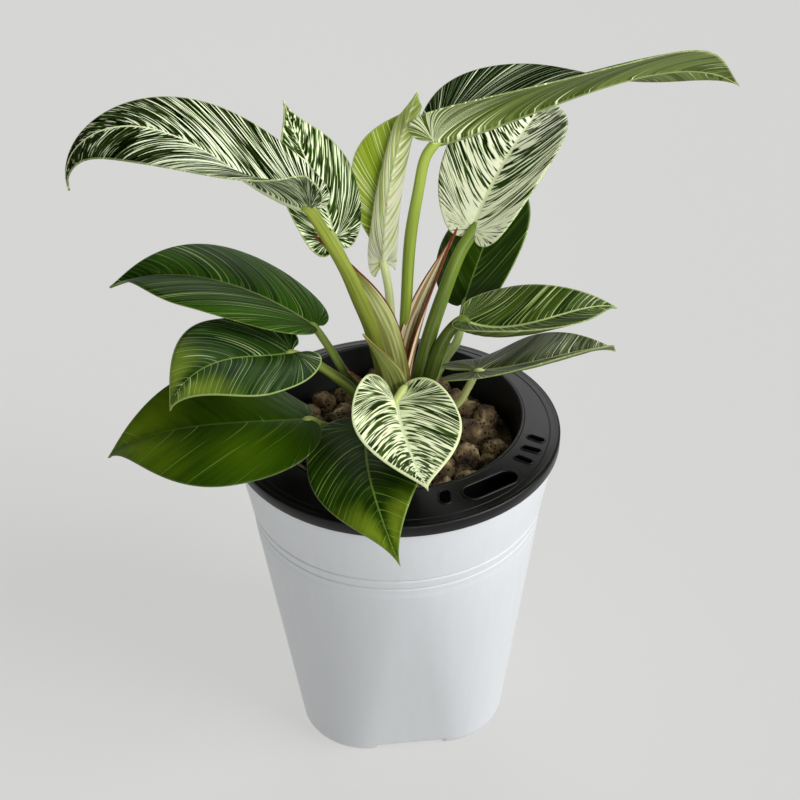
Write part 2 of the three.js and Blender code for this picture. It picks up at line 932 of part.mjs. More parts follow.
// A tapering stem through the route's points, from the crown to the blade.
function petioleSolid(leaf, clearance = 0) {
  const stops = [...leaf.route, [...leaf.junction, leaf.route.at(-1)[3]]];
  const curve = new THREE.CatmullRomCurve3(stops.map(([x, y, z]) => vec(x, y, z)), false);
  const steps = Math.max(4, Math.round(curve.getLength() / STEM_STEP));
  const { normals, binormals } = curve.computeFrenetFrames(steps, false);
  const rings = normals.map((normal, step) => {
    const t = curve.getUtoTmapping(step / steps);
    const place = Math.min(t * (stops.length - 1), stops.length - 1 - 1e-9);
    const stop = Math.floor(place);
    const radius = mix([stops[stop][3], stops[stop + 1][3]], place - stop) + clearance;
    const centre = curve.getPoint(t);
    return Array.from({ length: STEM_SIDES }, (_, side) => {
      const angle = (side / STEM_SIDES) * 2 * Math.PI;
      return centre
        .clone()
        .addScaledVector(normal, radius * Math.cos(angle))
        .addScaledVector(binormals[step], radius * Math.sin(angle));
    });
  });
  return lofted(rings);
}

// ----------------------------------------------------------------------------- assembly

const group = new THREE.Group();
group.name = "philodendron_birkin_in_pot";

const crownCutter = crownSolid(GAP);
const bladeCutters = LEAVES.map((leaf) => bladeSolid(leaf, GAP));
const petioleCutters = LEAVES.map((leaf) => petioleSolid(leaf, GAP));

group.add(meshOf("pot", buildPot(), POT_PLASTIC));
group.add(meshOf("liner", buildLiner(), BASKET_PLASTIC));
group.add(meshOf("granules", buildGranules([crownCutter, ...petioleCutters]), CLAY));
group.add(meshOf("crown", crownSolid(0), STEM_GREEN));

// A petiole gives way to the crown, to the blades and to the petioles listed before it.
LEAVES.forEach((leaf, index) => {
  let petiole = petioleSolid(leaf).subtract(crownCutter);
  for (const cutter of [...bladeCutters, ...petioleCutters.slice(0, index)]) {
    petiole = petiole.subtract(cutter);
  }
  group.add(meshOf(`petiole_${leaf.name}`, largest(petiole), PETIOLE_GREEN));
  group.add(meshOf(`blade_${leaf.name}`, bladeSolid(leaf), BLADE_GREENS[leaf.name]));
});

// A sheath gives way to everything that it wraps, and to the sheaths listed before it.
const sheathCutters = SHEATHS.map((sheath) => bladeSolid(sheath, GAP));
SHEATHS.forEach((sheath, index) => {
  let body = bladeSolid(sheath).subtract(crownCutter);
  const earlier = sheathCutters.slice(0, index);
  for (const cutter of [...bladeCutters, ...petioleCutters, ...earlier]) {
    body = body.subtract(cutter);
  }
  group.add(meshOf(`sheath_${sheath.name}`, largest(body), SHEATH_BROWN));
});

export default group;
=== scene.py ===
# %% [markdown]
# # A striped philodendron in a self-watering pot
#
# The plant has thirteen leaves. Each is a heart-shaped blade on a long stalk, the petiole, and
# dry sheaths stand between the stalks. The stem sits in clay granules in a black basket, and
# the basket hangs by its flange in a white pot. Everything is in metres, in the frame of the
# solid model, and most numbers are written in millimetres and multiplied by MM.

import json
import math

import bpy
import numpy as np
from mathutils import Matrix, Vector


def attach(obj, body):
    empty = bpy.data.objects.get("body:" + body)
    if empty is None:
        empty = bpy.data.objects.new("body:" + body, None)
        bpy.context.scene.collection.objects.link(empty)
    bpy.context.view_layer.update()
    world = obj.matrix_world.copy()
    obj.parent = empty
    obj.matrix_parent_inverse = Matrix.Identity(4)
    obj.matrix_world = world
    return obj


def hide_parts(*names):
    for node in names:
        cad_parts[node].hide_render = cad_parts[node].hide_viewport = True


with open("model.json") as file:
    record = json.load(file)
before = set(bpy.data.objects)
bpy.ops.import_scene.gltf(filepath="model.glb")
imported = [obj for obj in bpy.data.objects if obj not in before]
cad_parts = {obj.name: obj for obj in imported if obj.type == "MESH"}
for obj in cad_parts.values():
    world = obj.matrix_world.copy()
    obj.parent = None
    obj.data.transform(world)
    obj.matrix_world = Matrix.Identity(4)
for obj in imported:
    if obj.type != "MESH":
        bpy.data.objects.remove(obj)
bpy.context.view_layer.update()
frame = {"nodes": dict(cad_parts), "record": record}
MM = 0.001
print("solid nodes:", len(frame["nodes"]))

# %% [markdown]
# ## Helpers
#
# Colours are written as on the web, in sRGB, and Blender wants them linear, so one function
# turns them. Another turns the real size of a pattern's features, in millimetres, into the scale
# of its noise. A third adds a node to any tree: shader and geometry trees are built alike. Where
# an input is given a node, it takes that node's first output.

# %% Colours and nodes


def colour(text):
    """The linear colour of an sRGB hex value."""
    parts = [int(text[i : i + 2], 16) / 255 for i in (1, 3, 5)]
    return (*(c / 12.92 if c <= 0.04045 else ((c + 0.055) / 1.055) ** 2.4 for c in parts), 1.0)


def per_mm(size):
    """The noise scale that makes features of about a size in millimetres."""
    return 1 / (size * MM)


def set_inputs(tree, node, values):
    """Links a value that is a node or its output, and sets any other on the input itself."""
    for key, value in values.items():
        if isinstance(value, bpy.types.Node):
            value = next(socket for socket in value.outputs if socket.enabled)
        if isinstance(value, bpy.types.NodeSocket):
            tree.links.new(value, node.inputs[key])
        else:
            node.inputs[key].default_value = value


def put(tree, kind, values=None, **settings):
    """Adds a node of any kind, with its settings and its inputs."""
    node = tree.nodes.new(kind)
    for name, value in settings.items():
        setattr(node, name, value)
    set_inputs(tree, node, values or {})
    return node


def new_material(name):
    """A material, its tree and its shader."""
    material = bpy.data.materials.new(name)
    material.use_nodes = True
    return material, material.node_tree, material.node_tree.nodes["Principled BSDF"]


def stretched_noise(tree, place, scale, detail, roughness=0.5, offset=0.0):
    """Noise read in a space with its own scale on each axis."""
    space = {"Vector": place, "Scale": scale, "Location": (0, 0, offset)}
    space = put(tree, "ShaderNodeMapping", space)
    noise = {"Vector": space, "Scale": 1.0, "Detail": detail, "Roughness": roughness}
    return put(tree, "ShaderNodeTexNoise", noise)


def laid_over(tree, base, tone, value, start, full, strength, kind="SMOOTHSTEP"):
    """A tone laid over a base, more and more as a value goes from its start to its full."""
    amount = {"Value": value, "From Min": start, "From Max": full, "To Max": strength}
    amount = put(tree, "ShaderNodeMapRange", amount, interpolation_type=kind)
    layer = {"Factor": amount, "A": base, "B": colour(tone)}
    return put(tree, "ShaderNodeMix", layer, data_type="RGBA")


def new_tree(name, **sockets):
    """An empty geometry tree with its named inputs, and the node that reads them."""
    tree = bpy.data.node_groups.new(name, "GeometryNodeTree")
    tree.interface.new_socket("Geometry", in_out="INPUT", socket_type="NodeSocketGeometry")
    tree.interface.new_socket("Geometry", in_out="OUTPUT", socket_type="NodeSocketGeometry")
    for label, kind in sockets.items():
        tree.interface.new_socket(label, in_out="INPUT", socket_type=f"NodeSocket{kind}")
    return tree, put(tree, "NodeGroupInput")


def dressed(tree, geometry, finish):
    """The end of every tree: smooth faces, made real, in their finish."""
    soft = put(tree, "GeometryNodeSetShadeSmooth", {"Geometry": geometry})
    real = put(tree, "GeometryNodeRealizeInstances", {"Geometry": soft})
    return put(tree, "GeometryNodeSetMaterial", {"Geometry": real, "Material": finish})


# %% [markdown]
# A mesh made in code comes from arrays of points and faces. Every piece that is finished here
# rides on the model's one body and hides the solid that it stands for.

# %% Meshes and pieces


def new_object(name, data):
    """An object in the scene, at the origin."""
    made = bpy.data.objects.new(name, data)
    bpy.context.collection.objects.link(made)
    return made


def mesh_object(name, points, faces, finish=None):
    """A smooth mesh from points in millimetres and lists of point numbers."""
    mesh = bpy.data.meshes.new(name)
    mesh.from_pydata(np.asarray(points, float) * MM, [], [list(map(int, f)) for f in faces])
    mesh.polygons.foreach_set("use_smooth", [True] * len(mesh.polygons))
    mesh.update()
    if finish:
        mesh.materials.append(finish)
    return new_object(name, mesh)


def finish_piece(piece, slot, *nodes):
    """The piece rides on the model and hides the nodes that it stands for; the slot is not used."""
    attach(piece, "root")
    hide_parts(*nodes)
    print(piece.name, len(piece.data.polygons), "faces")


def realised(piece):
    """The piece with its modifiers worked into a plain mesh."""
    depsgraph = bpy.context.evaluated_depsgraph_get()
    mesh = bpy.data.meshes.new_from_object(piece.evaluated_get(depsgraph), depsgraph=depsgraph)
    name = piece.name
    bpy.data.objects.remove(piece)
    return new_object(name, mesh)


def with_tree(piece, tree, **inputs):
    """Runs a geometry tree on the piece, with its inputs given by name."""
    modifier = piece.modifiers.new(tree.name, "NODES")
    modifier.node_group = tree
    for item in tree.interface.items_tree:
        if item.item_type == "SOCKET" and item.in_out == "INPUT" and item.name in inputs:
            modifier[item.identifier] = inputs[item.name]
    return realised(piece)


def joined(name, pieces):
    """One object from several, welded nowhere, each keeping its form."""
    with bpy.context.temp_override(active_object=pieces[0], selected_editable_objects=pieces):
        bpy.ops.object.join()
    pieces[0].name = name
    return pieces[0]


def circle_outline(centre, radius, steps=128):
    angle = np.arange(steps) / steps * 2 * math.pi
    return np.stack([centre[0] + radius * np.cos(angle), centre[1] + radius * np.sin(angle)], 1)


def at_height(outline, height):
    """A flat outline lifted to a height."""
    return np.column_stack([outline, np.full(len(outline), height)])


def band(low, high, sides):
    """The quads between two rings, given by the number of the first point of each."""
    side = np.arange(sides)
    after = (side + 1) % sides
    return np.stack([low + side, low + after, high + after, high + side], 1).tolist()


def turned(profile, centre=(0.0, 0.0), sides=160):
    """Points and faces of a closed profile of (radius, height) turned about an upright axis."""
    rings = [at_height(circle_outline(centre, radius, sides), height) for radius, height in profile]
    count = len(rings)
    faces = []
    for ring in range(count):
        faces += band(ring * sides, (ring + 1) % count * sides, sides)
    return np.vstack(rings), faces


def closed_loft(rings):
    """Points and faces of a stack of rings of equally many points, fanned shut at both ends."""
    count = len(rings[0])
    top = (len(rings) - 1) * count
    points = np.vstack([*rings, rings[0].mean(0), rings[-1].mean(0)])
    faces = []
    for low in range(0, top, count):
        faces += band(low, low + count, count)
    first, last = len(points) - 2, len(points) - 1
    faces += [[first, (i + 1) % count, i] for i in range(count)]
    faces += [[last, top + i, top + (i + 1) % count] for i in range(count)]
    return points, faces


# %% [markdown]
# ## Camera
#
# A table-top picture from above. The camera looks down by 34 degrees at a point in the middle
# of the plant, with a slightly long lens, and leans half a degree.

# %% Camera
LOOK_AT = Vector((2.3, 0, 197.4)) * MM
ELEVATION = math.radians(34)
DISTANCE = 600 * MM
LEAN = math.radians(-0.57)
LENS_MM = 52.65

away = Vector((0, -math.cos(ELEVATION), math.sin(ELEVATION)))
right = Vector((1, 0, 0))
leaning = Matrix((right, away.cross(right), away)).transposed() @ Matrix.Rotation(LEAN, 3, "Z")
camera = new_object("camera", bpy.data.cameras.new("camera"))
camera.data.lens = LENS_MM
camera.data.clip_start = 10 * MM
camera.matrix_world = Matrix.Translation(LOOK_AT + away * DISTANCE) @ leaning.to_4x4()
bpy.context.scene.camera = camera
bpy.context.scene.view_settings.view_transform = "Standard"
print("camera at", [round(v, 3) for v in camera.location])

# %% [markdown]
# ## The white pot
#
# The pot is injection-moulded polypropylene: thin, satin, a little cloudy, with two fine grooves
# round it. Its section is a circle at the rim and a square with round corners at the foot, so
# the wall is a loft of rings, each a rounded square in polar form. Rings close together draw the
# grooves, the soft step under them, the rolled foot and the four low notches in the foot. Above
# the step the section is round.

# %% Pot shape
SHOULDER_Z, SHOULDER_R = 177.6, 83.4
RIM_Z, RIM_R = 181.9, 83.05
FOOT_HALF, FOOT_CORNER = 57.9, 37.0
NOTCH_HALF, NOTCH_DEEP, NOTCH_TOP = 18.5, 3.5, 3.9
GROOVES, GROOVE_DEEP, GROOVE_REACH = (144, 138), 0.75, 0.55
STEP_Z, STEP_DEEP, STEP_SOFT = 133.0, 0.5, 0.8
WALL_THICK = 2.7
POT_TURN = math.radians(6)
POT_SIDES = 288


def pot_half(z):
    return FOOT_HALF + (SHOULDER_R - FOOT_HALF) * z / SHOULDER_Z


def pot_ring(z, inset, half=None, notch=0.0):
    """A ring of the pot's wall, pushed in by an inset, and by a notch in the four sides."""
    half = pot_half(z) if half is None else half
    share = min(1.0, z / STEP_Z)
    corner = half if z >= STEP_Z else FOOT_CORNER + (pot_half(STEP_Z) - FOOT_CORNER) * share
    reach = half - corner
    angle = np.arange(POT_SIDES) / POT_SIDES * 2 * math.pi
    fold = np.abs((angle + math.pi / 4) % (math.pi / 2) - math.pi / 4)
    flat = half / np.cos(fold)
    along = reach * (np.cos(fold) + np.sin(fold))
    curved = along + np.sqrt(np.maximum(corner**2 - 2 * reach**2 + along**2, 0))
    radius = np.where(flat * np.sin(fold) > reach, curved, flat)
    radius = radius - inset - notch * (radius * np.sin(fold) < NOTCH_HALF)
    turn = angle + POT_TURN
    return at_height(np.stack([radius * np.cos(turn), radius * np.sin(turn)], 1), z)


def groove_depth(z):
    """Depth of the wall's face at a height: two grooves and the soft step under them."""
    reaches = [((z - groove) / GROOVE_REACH) ** 2 for groove in GROOVES]
    grooves = sum(GROOVE_DEEP * math.exp(-reach) for reach in reaches)
    return grooves + STEP_DEEP * (1 / (1 + math.exp(-(z - STEP_Z) / STEP_SOFT)))


rings = [pot_ring(0, 1.6, notch=2.0), pot_ring(0.4, 0.7, notch=2.9)]
rings += [pot_ring(z, 0, notch=NOTCH_DEEP) for z in (1.6, NOTCH_TOP)]
rings += [pot_ring(z, 0) for z in (NOTCH_TOP + 0.1, 4.6)]
heights = (*np.arange(12, 130, 8), *np.arange(130, 147.1, 0.35))
rings += [pot_ring(z, groove_depth(z)) for z in heights]
rings += [pot_ring(z, STEP_DEEP * (SHOULDER_Z - z) / 30) for z in np.arange(150, 177.6, 5)]
rings += [pot_ring(SHOULDER_Z, 0), pot_ring(SHOULDER_Z + 0.2, 0, RIM_R)]
rim = ((RIM_Z - 0.5, 0), (RIM_Z, 0.5), (RIM_Z, 1.7), (RIM_Z - 0.5, 2.2))
rings += [pot_ring(z, inset, RIM_R) for z, inset in rim]
rings += [pot_ring(z, WALL_THICK) for z in (133, 100, 66, 33, 6.5)]

# %% [markdown]
# The material is polypropylene, injection-moulded. Its satin skin shows a light as a wide soft
# glow and never as a sharp spot. The melt leaves faint upright flow marks, about 5 mm wide and
# 50 mm long, and the mould leaves a pebbling of 0.9 mm, which breaks up the shine. Roughness
# 0.38 is usual for a satin part, and the IOR is the plastic's own, 1.49. The black basket is the
# same plastic with soot in it, so one function makes both.

# %% Pot plastic


def plastic_material(name, tone, shade, roughness, pebble_mm, specular):
    """Moulded plastic: one tone with faint flow marks and a pebbled skin."""
    material, tree, shader = new_material(name)
    place = put(tree, "ShaderNodeTexCoord").outputs["Object"]
    # flow marks: to the eye, a faint upright change of tone and of shine
    flow = stretched_noise(tree, place, (per_mm(5), per_mm(5), per_mm(50)), 3.0)
    tones = {"Factor": flow, "A": colour(tone), "B": colour(shade)}
    shine = {"Value": flow, "To Min": roughness - 0.04, "To Max": roughness + 0.04}
    # pebbling: it takes the edge off every highlight
    pebble = {"Vector": place, "Scale": per_mm(pebble_mm), "Detail": 2.0}
    pebble = put(tree, "ShaderNodeTexNoise", pebble)
    bump = {"Height": pebble, "Distance": 0.02 * MM, "Strength": 0.5}
    looks = {
        "Base Color": put(tree, "ShaderNodeMix", tones, data_type="RGBA"),
        "Roughness": put(tree, "ShaderNodeMapRange", shine),
        "Normal": put(tree, "ShaderNodeBump", bump),
        "IOR": 1.49,
        "Specular IOR Level": specular,
    }
    set_inputs(tree, shader, looks)
    return material


# white polypropylene: the eye sees a cool cloudy white, and on it the leaves' soft shade
white = plastic_material("polypropylene_moulded_white", "#dee1e4", "#d7dade", 0.38, 0.9, 0.5)
pot = mesh_object("pot_moulded", *closed_loft(rings), white)
finish_piece(pot, "pot_plastic", "pot")

# %% [markdown]
# ## The black basket
#
# The basket is one moulding. Its flange is a flat ring with openings, which a filled 2-D curve
# draws well: the outline and each hole are loops of one curve, and the curve's own bevel rounds
# every edge. The lip and the basket's wall are turned shapes, and a thin bead is raised round
# each opening, made by sweeping a small circle along the opening's outline.

# %% Slot outlines


def slot_outline(start, end, width, steps=10):
    """The outline of a round-ended slot that reaches from one point to the other."""
    start, end = np.array(start), np.array(end)
    along = (end - start) / np.linalg.norm(end - start)
    across = np.array([-along[1], along[0]])
    radius = width / 2
    turn = np.linspace(-math.pi / 2, math.pi / 2, steps)[:, None]
    far = end - along * radius + radius * (along * np.cos(turn) + across * np.sin(turn))
    near = start + along * radius - radius * (along * np.cos(turn) + across * np.sin(turn))
    return np.vstack([far, near])


BASKET_CENTRE = (-0.6, 10.8)
MOUTH_R = 67.4
FLANGE_R, FLANGE_TOP, FLANGE_THICK, FLANGE_EDGE = 85.0, 184.0, 1.8, 0.4
OPENINGS = [
    slot_outline((32.2, -62.4), (58.6, -45.4), 11),
    slot_outline((66.9, -13.8), (75.2, -19.2), 4),
    slot_outline((62.9, -23.1), (72.4, -27.9), 4),
    slot_outline((58.9, -30.9), (67.4, -36.8), 4),
    slot_outline((23.2, -68.2), (23.2, -57.6), 6),
]

# %% [markdown]
# Stalks and beads are alike: a path with a radius at each of its points. One geometry tree
# sweeps a circle along any of them, and leaves two measures for the finishes: `along` the path
# and `around` the section.

# %% Sweeping a section along a path
sweep_tree, enter = new_tree("sweep_along_path", Sides="Int", Finish="Material")
length = put(sweep_tree, "GeometryNodeSplineParameter").outputs["Factor"]
circle = {"Resolution": enter.outputs["Sides"], "Radius": 1.0}
circle = put(sweep_tree, "GeometryNodeCurvePrimitiveCircle", circle)
marked = {}
for label, curve in (("along", enter), ("around", circle)):
    marked[label] = put(
        sweep_tree,
        "GeometryNodeStoreNamedAttribute",
        {"Geometry": curve, "Name": label, "Value": length},
        data_type="FLOAT",
        domain="POINT",
    )
tube = {"Curve": marked["along"], "Profile Curve": marked["around"], "Fill Caps": True}
tube["Scale"] = put(sweep_tree, "GeometryNodeInputRadius")
tube = put(sweep_tree, "GeometryNodeCurveToMesh", tube)
put(sweep_tree, "NodeGroupOutput", {"Geometry": dressed(sweep_tree, tube, enter.outputs["Finish"])})


def add_polyline(data, places, closed):
    """A polyline through places in millimetres, added to a curve."""
    spline = data.splines.new("POLY")
    spline.points.add(len(places) - 1)
    for point, place in zip(spline.points, np.asarray(places, float) * MM):
        point.co = (*place, 1.0)
    spline.use_cyclic_u = closed
    return spline


def swept(name, places, radii, finish, sides, closed=False):
    """A stalk or bead: a round section swept along places, with one radius or one for each."""
    data = bpy.data.curves.new(name, "CURVE")
    data.dimensions = "3D"
    radii = np.broadcast_to(radii, len(places)) * MM
    add_polyline(data, places, closed).points.foreach_set("radius", radii)
    return with_tree(new_object(name, data), sweep_tree, Sides=sides, Finish=finish)


# %% [markdown]
# The basket takes the black plastic, and its parts are put together as one piece.

# %% Basket
# soot-black polypropylene: the eye sees its form almost only by the dull shine on its edges
black = plastic_material("polypropylene_moulded_black", "#060707", "#0b0c0c", 0.36, 0.8, 0.3)


def flange_plate():
    """A flat ring with its openings, its edges rounded by the curve's bevel."""
    data = bpy.data.curves.new("flange", "CURVE")
    data.dimensions = "2D"
    data.fill_mode = "BOTH"
    data.extrude = (FLANGE_THICK / 2 - FLANGE_EDGE) * MM
    data.bevel_depth = FLANGE_EDGE * MM
    data.bevel_resolution = 2
    data.offset = -FLANGE_EDGE * MM
    outer = circle_outline((0, 0), FLANGE_R - FLANGE_EDGE)
    for loop in (outer, circle_outline(BASKET_CENTRE, MOUTH_R), *OPENINGS):
        add_polyline(data, at_height(loop, 0), True)
    plate = realised(new_object("flange", data))
    plate.data.transform(Matrix.Translation((0, 0, (FLANGE_TOP - FLANGE_THICK / 2) * MM)))
    plate.data.materials.append(black)
    return plate


# profiles of the lip and the wall
lip = [(83.4, 178.2), (83.6, 178.0), (84.8, 178.0), (85.0, 178.3), (85.0, 183.2)]
lip += [(84.8, 183.7), (84.2, 184.0), (82.6, 184.05), (82.2, 183.8), (82.2, 182.3), (83.4, 182.3)]
wall = [(66.4, 183.2), (66.9, 184.0), (67.8, 184.25), (68.6, 184.0), (69.0, 183.2)]
wall += [(50.0, 45.6), (49.0, 45.0), (15.0, 45.0), (15.0, 7.2), (0.5, 7.2), (0.5, 8.8)]
wall += [(13.4, 8.8), (13.4, 46.6), (48.4, 46.6)]
# each bead's loop, its radius, how deep its middle sinks into the flange, and its sides
beads = [(loop, 0.5, 0.05, 10) for loop in OPENINGS]
beads[0] = (OPENINGS[0], 0.7, 0.05, 10)
beads.append((circle_outline((0, 0), 79.6), 0.4, 0.1, 8))
pieces = [flange_plate()]
pieces.append(mesh_object("lip", *turned(lip), black))
pieces.append(mesh_object("wall", *turned(wall, BASKET_CENTRE), black))
for number, (loop, radius, sunk, sides) in enumerate(beads):
    path = at_height(loop, FLANGE_TOP - sunk)
    pieces.append(swept(f"bead_{number}", path, radius, black, sides, closed=True))
finish_piece(joined("basket_moulded", pieces), "liner_plastic", "liner")

# %% [markdown]
# ## The clay granules
#
# Expanded clay or lava pebbles of 12 to 18 mm, brown, rough and full of pores. They are many
# and alike, so a geometry tree strews points over a disc, no two closer than a pebble, puts a
# ball on each, turns and sizes it at random, and pushes its skin in and out with noise read at
# its place, so that no two pebbles are the same.

# %% Granule tree
DENSITY = 30000.0
FULL_TURN = (6.28, 6.28, 6.28)
sockets = dict(Spacing="Float", Size="Float", Seed="Int", Finish="Material")
pebble_tree, enter = new_tree("pebbles_on_a_disc", **sockets)
seed = enter.outputs["Seed"]
strewn = {"Mesh": enter, "Distance Min": enter.outputs["Spacing"], "Seed": seed}
strewn["Density Max"] = DENSITY
kind = "GeometryNodeDistributePointsOnFaces"
strewn = put(pebble_tree, kind, strewn, distribute_method="POISSON")
ball = {"Radius": enter.outputs["Size"], "Subdivisions": 4}
heap = {"Points": strewn, "Instance": put(pebble_tree, "GeometryNodeMeshIcoSphere", ball)}
for label, low, high in (
    ("Rotation", (0, 0, 0), FULL_TURN),
    ("Scale", (0.8, 0.8, 0.72), (1.15, 1.1, 1.0)),
):
    chance = {"Min": low, "Max": high, "Seed": seed}
    heap[label] = put(pebble_tree, "FunctionNodeRandomValue", chance, data_type="FLOAT_VECTOR")
heap = put(pebble_tree, "GeometryNodeInstanceOnPoints", heap)
real = put(pebble_tree, "GeometryNodeRealizeInstances", {"Geometry": heap})
# lumps of 11 mm and pits of 3 mm push the skin in and out
pushes = []
for size, inward, outward in ((11, -3.4, 3.4), (3, -1.8, 1.4)):
    noise = put(pebble_tree, "ShaderNodeTexNoise", {"Scale": per_mm(size), "Detail": 2.0})
    push = {"Value": noise, "To Min": inward * MM, "To Max": outward * MM}
    pushes.append(put(pebble_tree, "ShaderNodeMapRange", push))
push = put(pebble_tree, "ShaderNodeMath", {0: pushes[0], 1: pushes[1]}, operation="ADD")
shift = {0: put(pebble_tree, "GeometryNodeInputNormal"), "Scale": push}
shift = put(pebble_tree, "ShaderNodeVectorMath", shift, operation="SCALE")
rough_skin = put(pebble_tree, "GeometryNodeSetPosition", {"Geometry": real, "Offset": shift})
done = dressed(pebble_tree, rough_skin, enter.outputs["Finish"])
put(pebble_tree, "NodeGroupOutput", {"Geometry": done})

# %% [markdown]
# The pebbles are clay that swelled and was fired in a turning kiln. The fired skin has no
# shine, so it scatters light evenly and its tones do the work: browns that change at random
# every 10 mm, pores 2.4 mm apart painted near black as the shade in their holes, and a grit of
# 1 mm that catches the light on the high spots.

# %% Granule finish


def granule_material():
    """Expanded clay: fired brown skin, paler and darker at random, with painted shade in the pores.
    """
    material, tree, shader = new_material("expanded_clay_fired")
    place = put(tree, "ShaderNodeTexCoord").outputs["Object"]
    # to the eye: a dry crumbly brown, paler and darker at random, with painted shade in the
    # pinholes
    patches, grit = (
        put(tree, "ShaderNodeTexNoise", {"Vector": place, "Scale": per_mm(size), "Detail": detail})
        for size, detail in ((10.5, 5.0), (1.1, 4.0))
    )
    pores = put(tree, "ShaderNodeTexVoronoi", {"Vector": place, "Scale": per_mm(2.4)})
    skin = put(tree, "ShaderNodeValToRGB", {"Fac": patches})
    tones = ((0.3, "#2c2013"), (0.42, "#54432a"), (0.54, "#806b48"), (0.66, "#b8a47c"))
    while len(skin.color_ramp.elements) < len(tones):
        skin.color_ramp.elements.new(0.5)
    for stop, (position, tone) in zip(skin.color_ramp.elements, tones):
        stop.position = position
        stop.color = colour(tone)
    # pores: the shade in each hole is painted near black, over a shallow pit made by the bump
    pore = put(tree, "ShaderNodeMapRange", {"Value": pores, "From Min": 0.16, "From Max": 0.36})
    tones = {"Factor": pore, "A": colour("#0c0804"), "B": skin}
    height = put(tree, "ShaderNodeMath", {0: grit, 1: pore}, operation="ADD")
    bump = {"Height": height, "Distance": 0.9 * MM, "Strength": 1.0}
    looks = {
        "Base Color": put(tree, "ShaderNodeMix", tones, data_type="RGBA"),
        "Normal": put(tree, "ShaderNodeBump", bump),
        "Roughness": 0.85,
    }
    set_inputs(tree, shader, looks)
    return material


clay = granule_material()
STEM_PLACE = (1.0, 11.0)
DISC_SIDES = 48


def pebble_layer(name, height, hole, reach, spacing, size, seed):
    """Pebbles on a flat ring about the stem, at one height."""
    inner = circle_outline(STEM_PLACE, hole, DISC_SIDES)
    outer = circle_outline(BASKET_CENTRE, reach, DISC_SIDES)
    ring = at_height(np.vstack([inner, outer]), height)
    disc = mesh_object(name, ring, band(DISC_SIDES, 0, DISC_SIDES))
    inputs = {"Spacing": spacing * MM, "Size": size * MM, "Seed": seed, "Finish": clay}
    return with_tree(disc, pebble_tree, **inputs)


fill = [(0.6, 150.0), (62.0, 150.0), (64.0, 161.0), (0.6, 161.0)]
layers = [
    mesh_object("fill", *turned(fill, BASKET_CENTRE, 96), clay),
    pebble_layer("pebbles_low", 161.5, 13.5, 57.5, 12.5, 7.4, 5),
    pebble_layer("pebbles_top", 164.6, 20.0, 55.0, 16.2, 8.8, 3),
]
finish_piece(joined("clay_pebbles", layers), "clay_granules", "granules")

# %% [markdown]
# ## Leaf shape
#
# A leaf grows flat and heart-shaped and is then bent: the two halves fold up along the midrib
# and curl towards the margin, and the midrib itself arches. So the flat outline is drawn first,
# as two Bezier curves for each half. Veins run from the midrib to the margin and lean forward.
# The mesh follows them: each of its rows is a vein, which lets stripes and pleats follow the
# veins too. Each point is then carried to its place along the arching midrib.

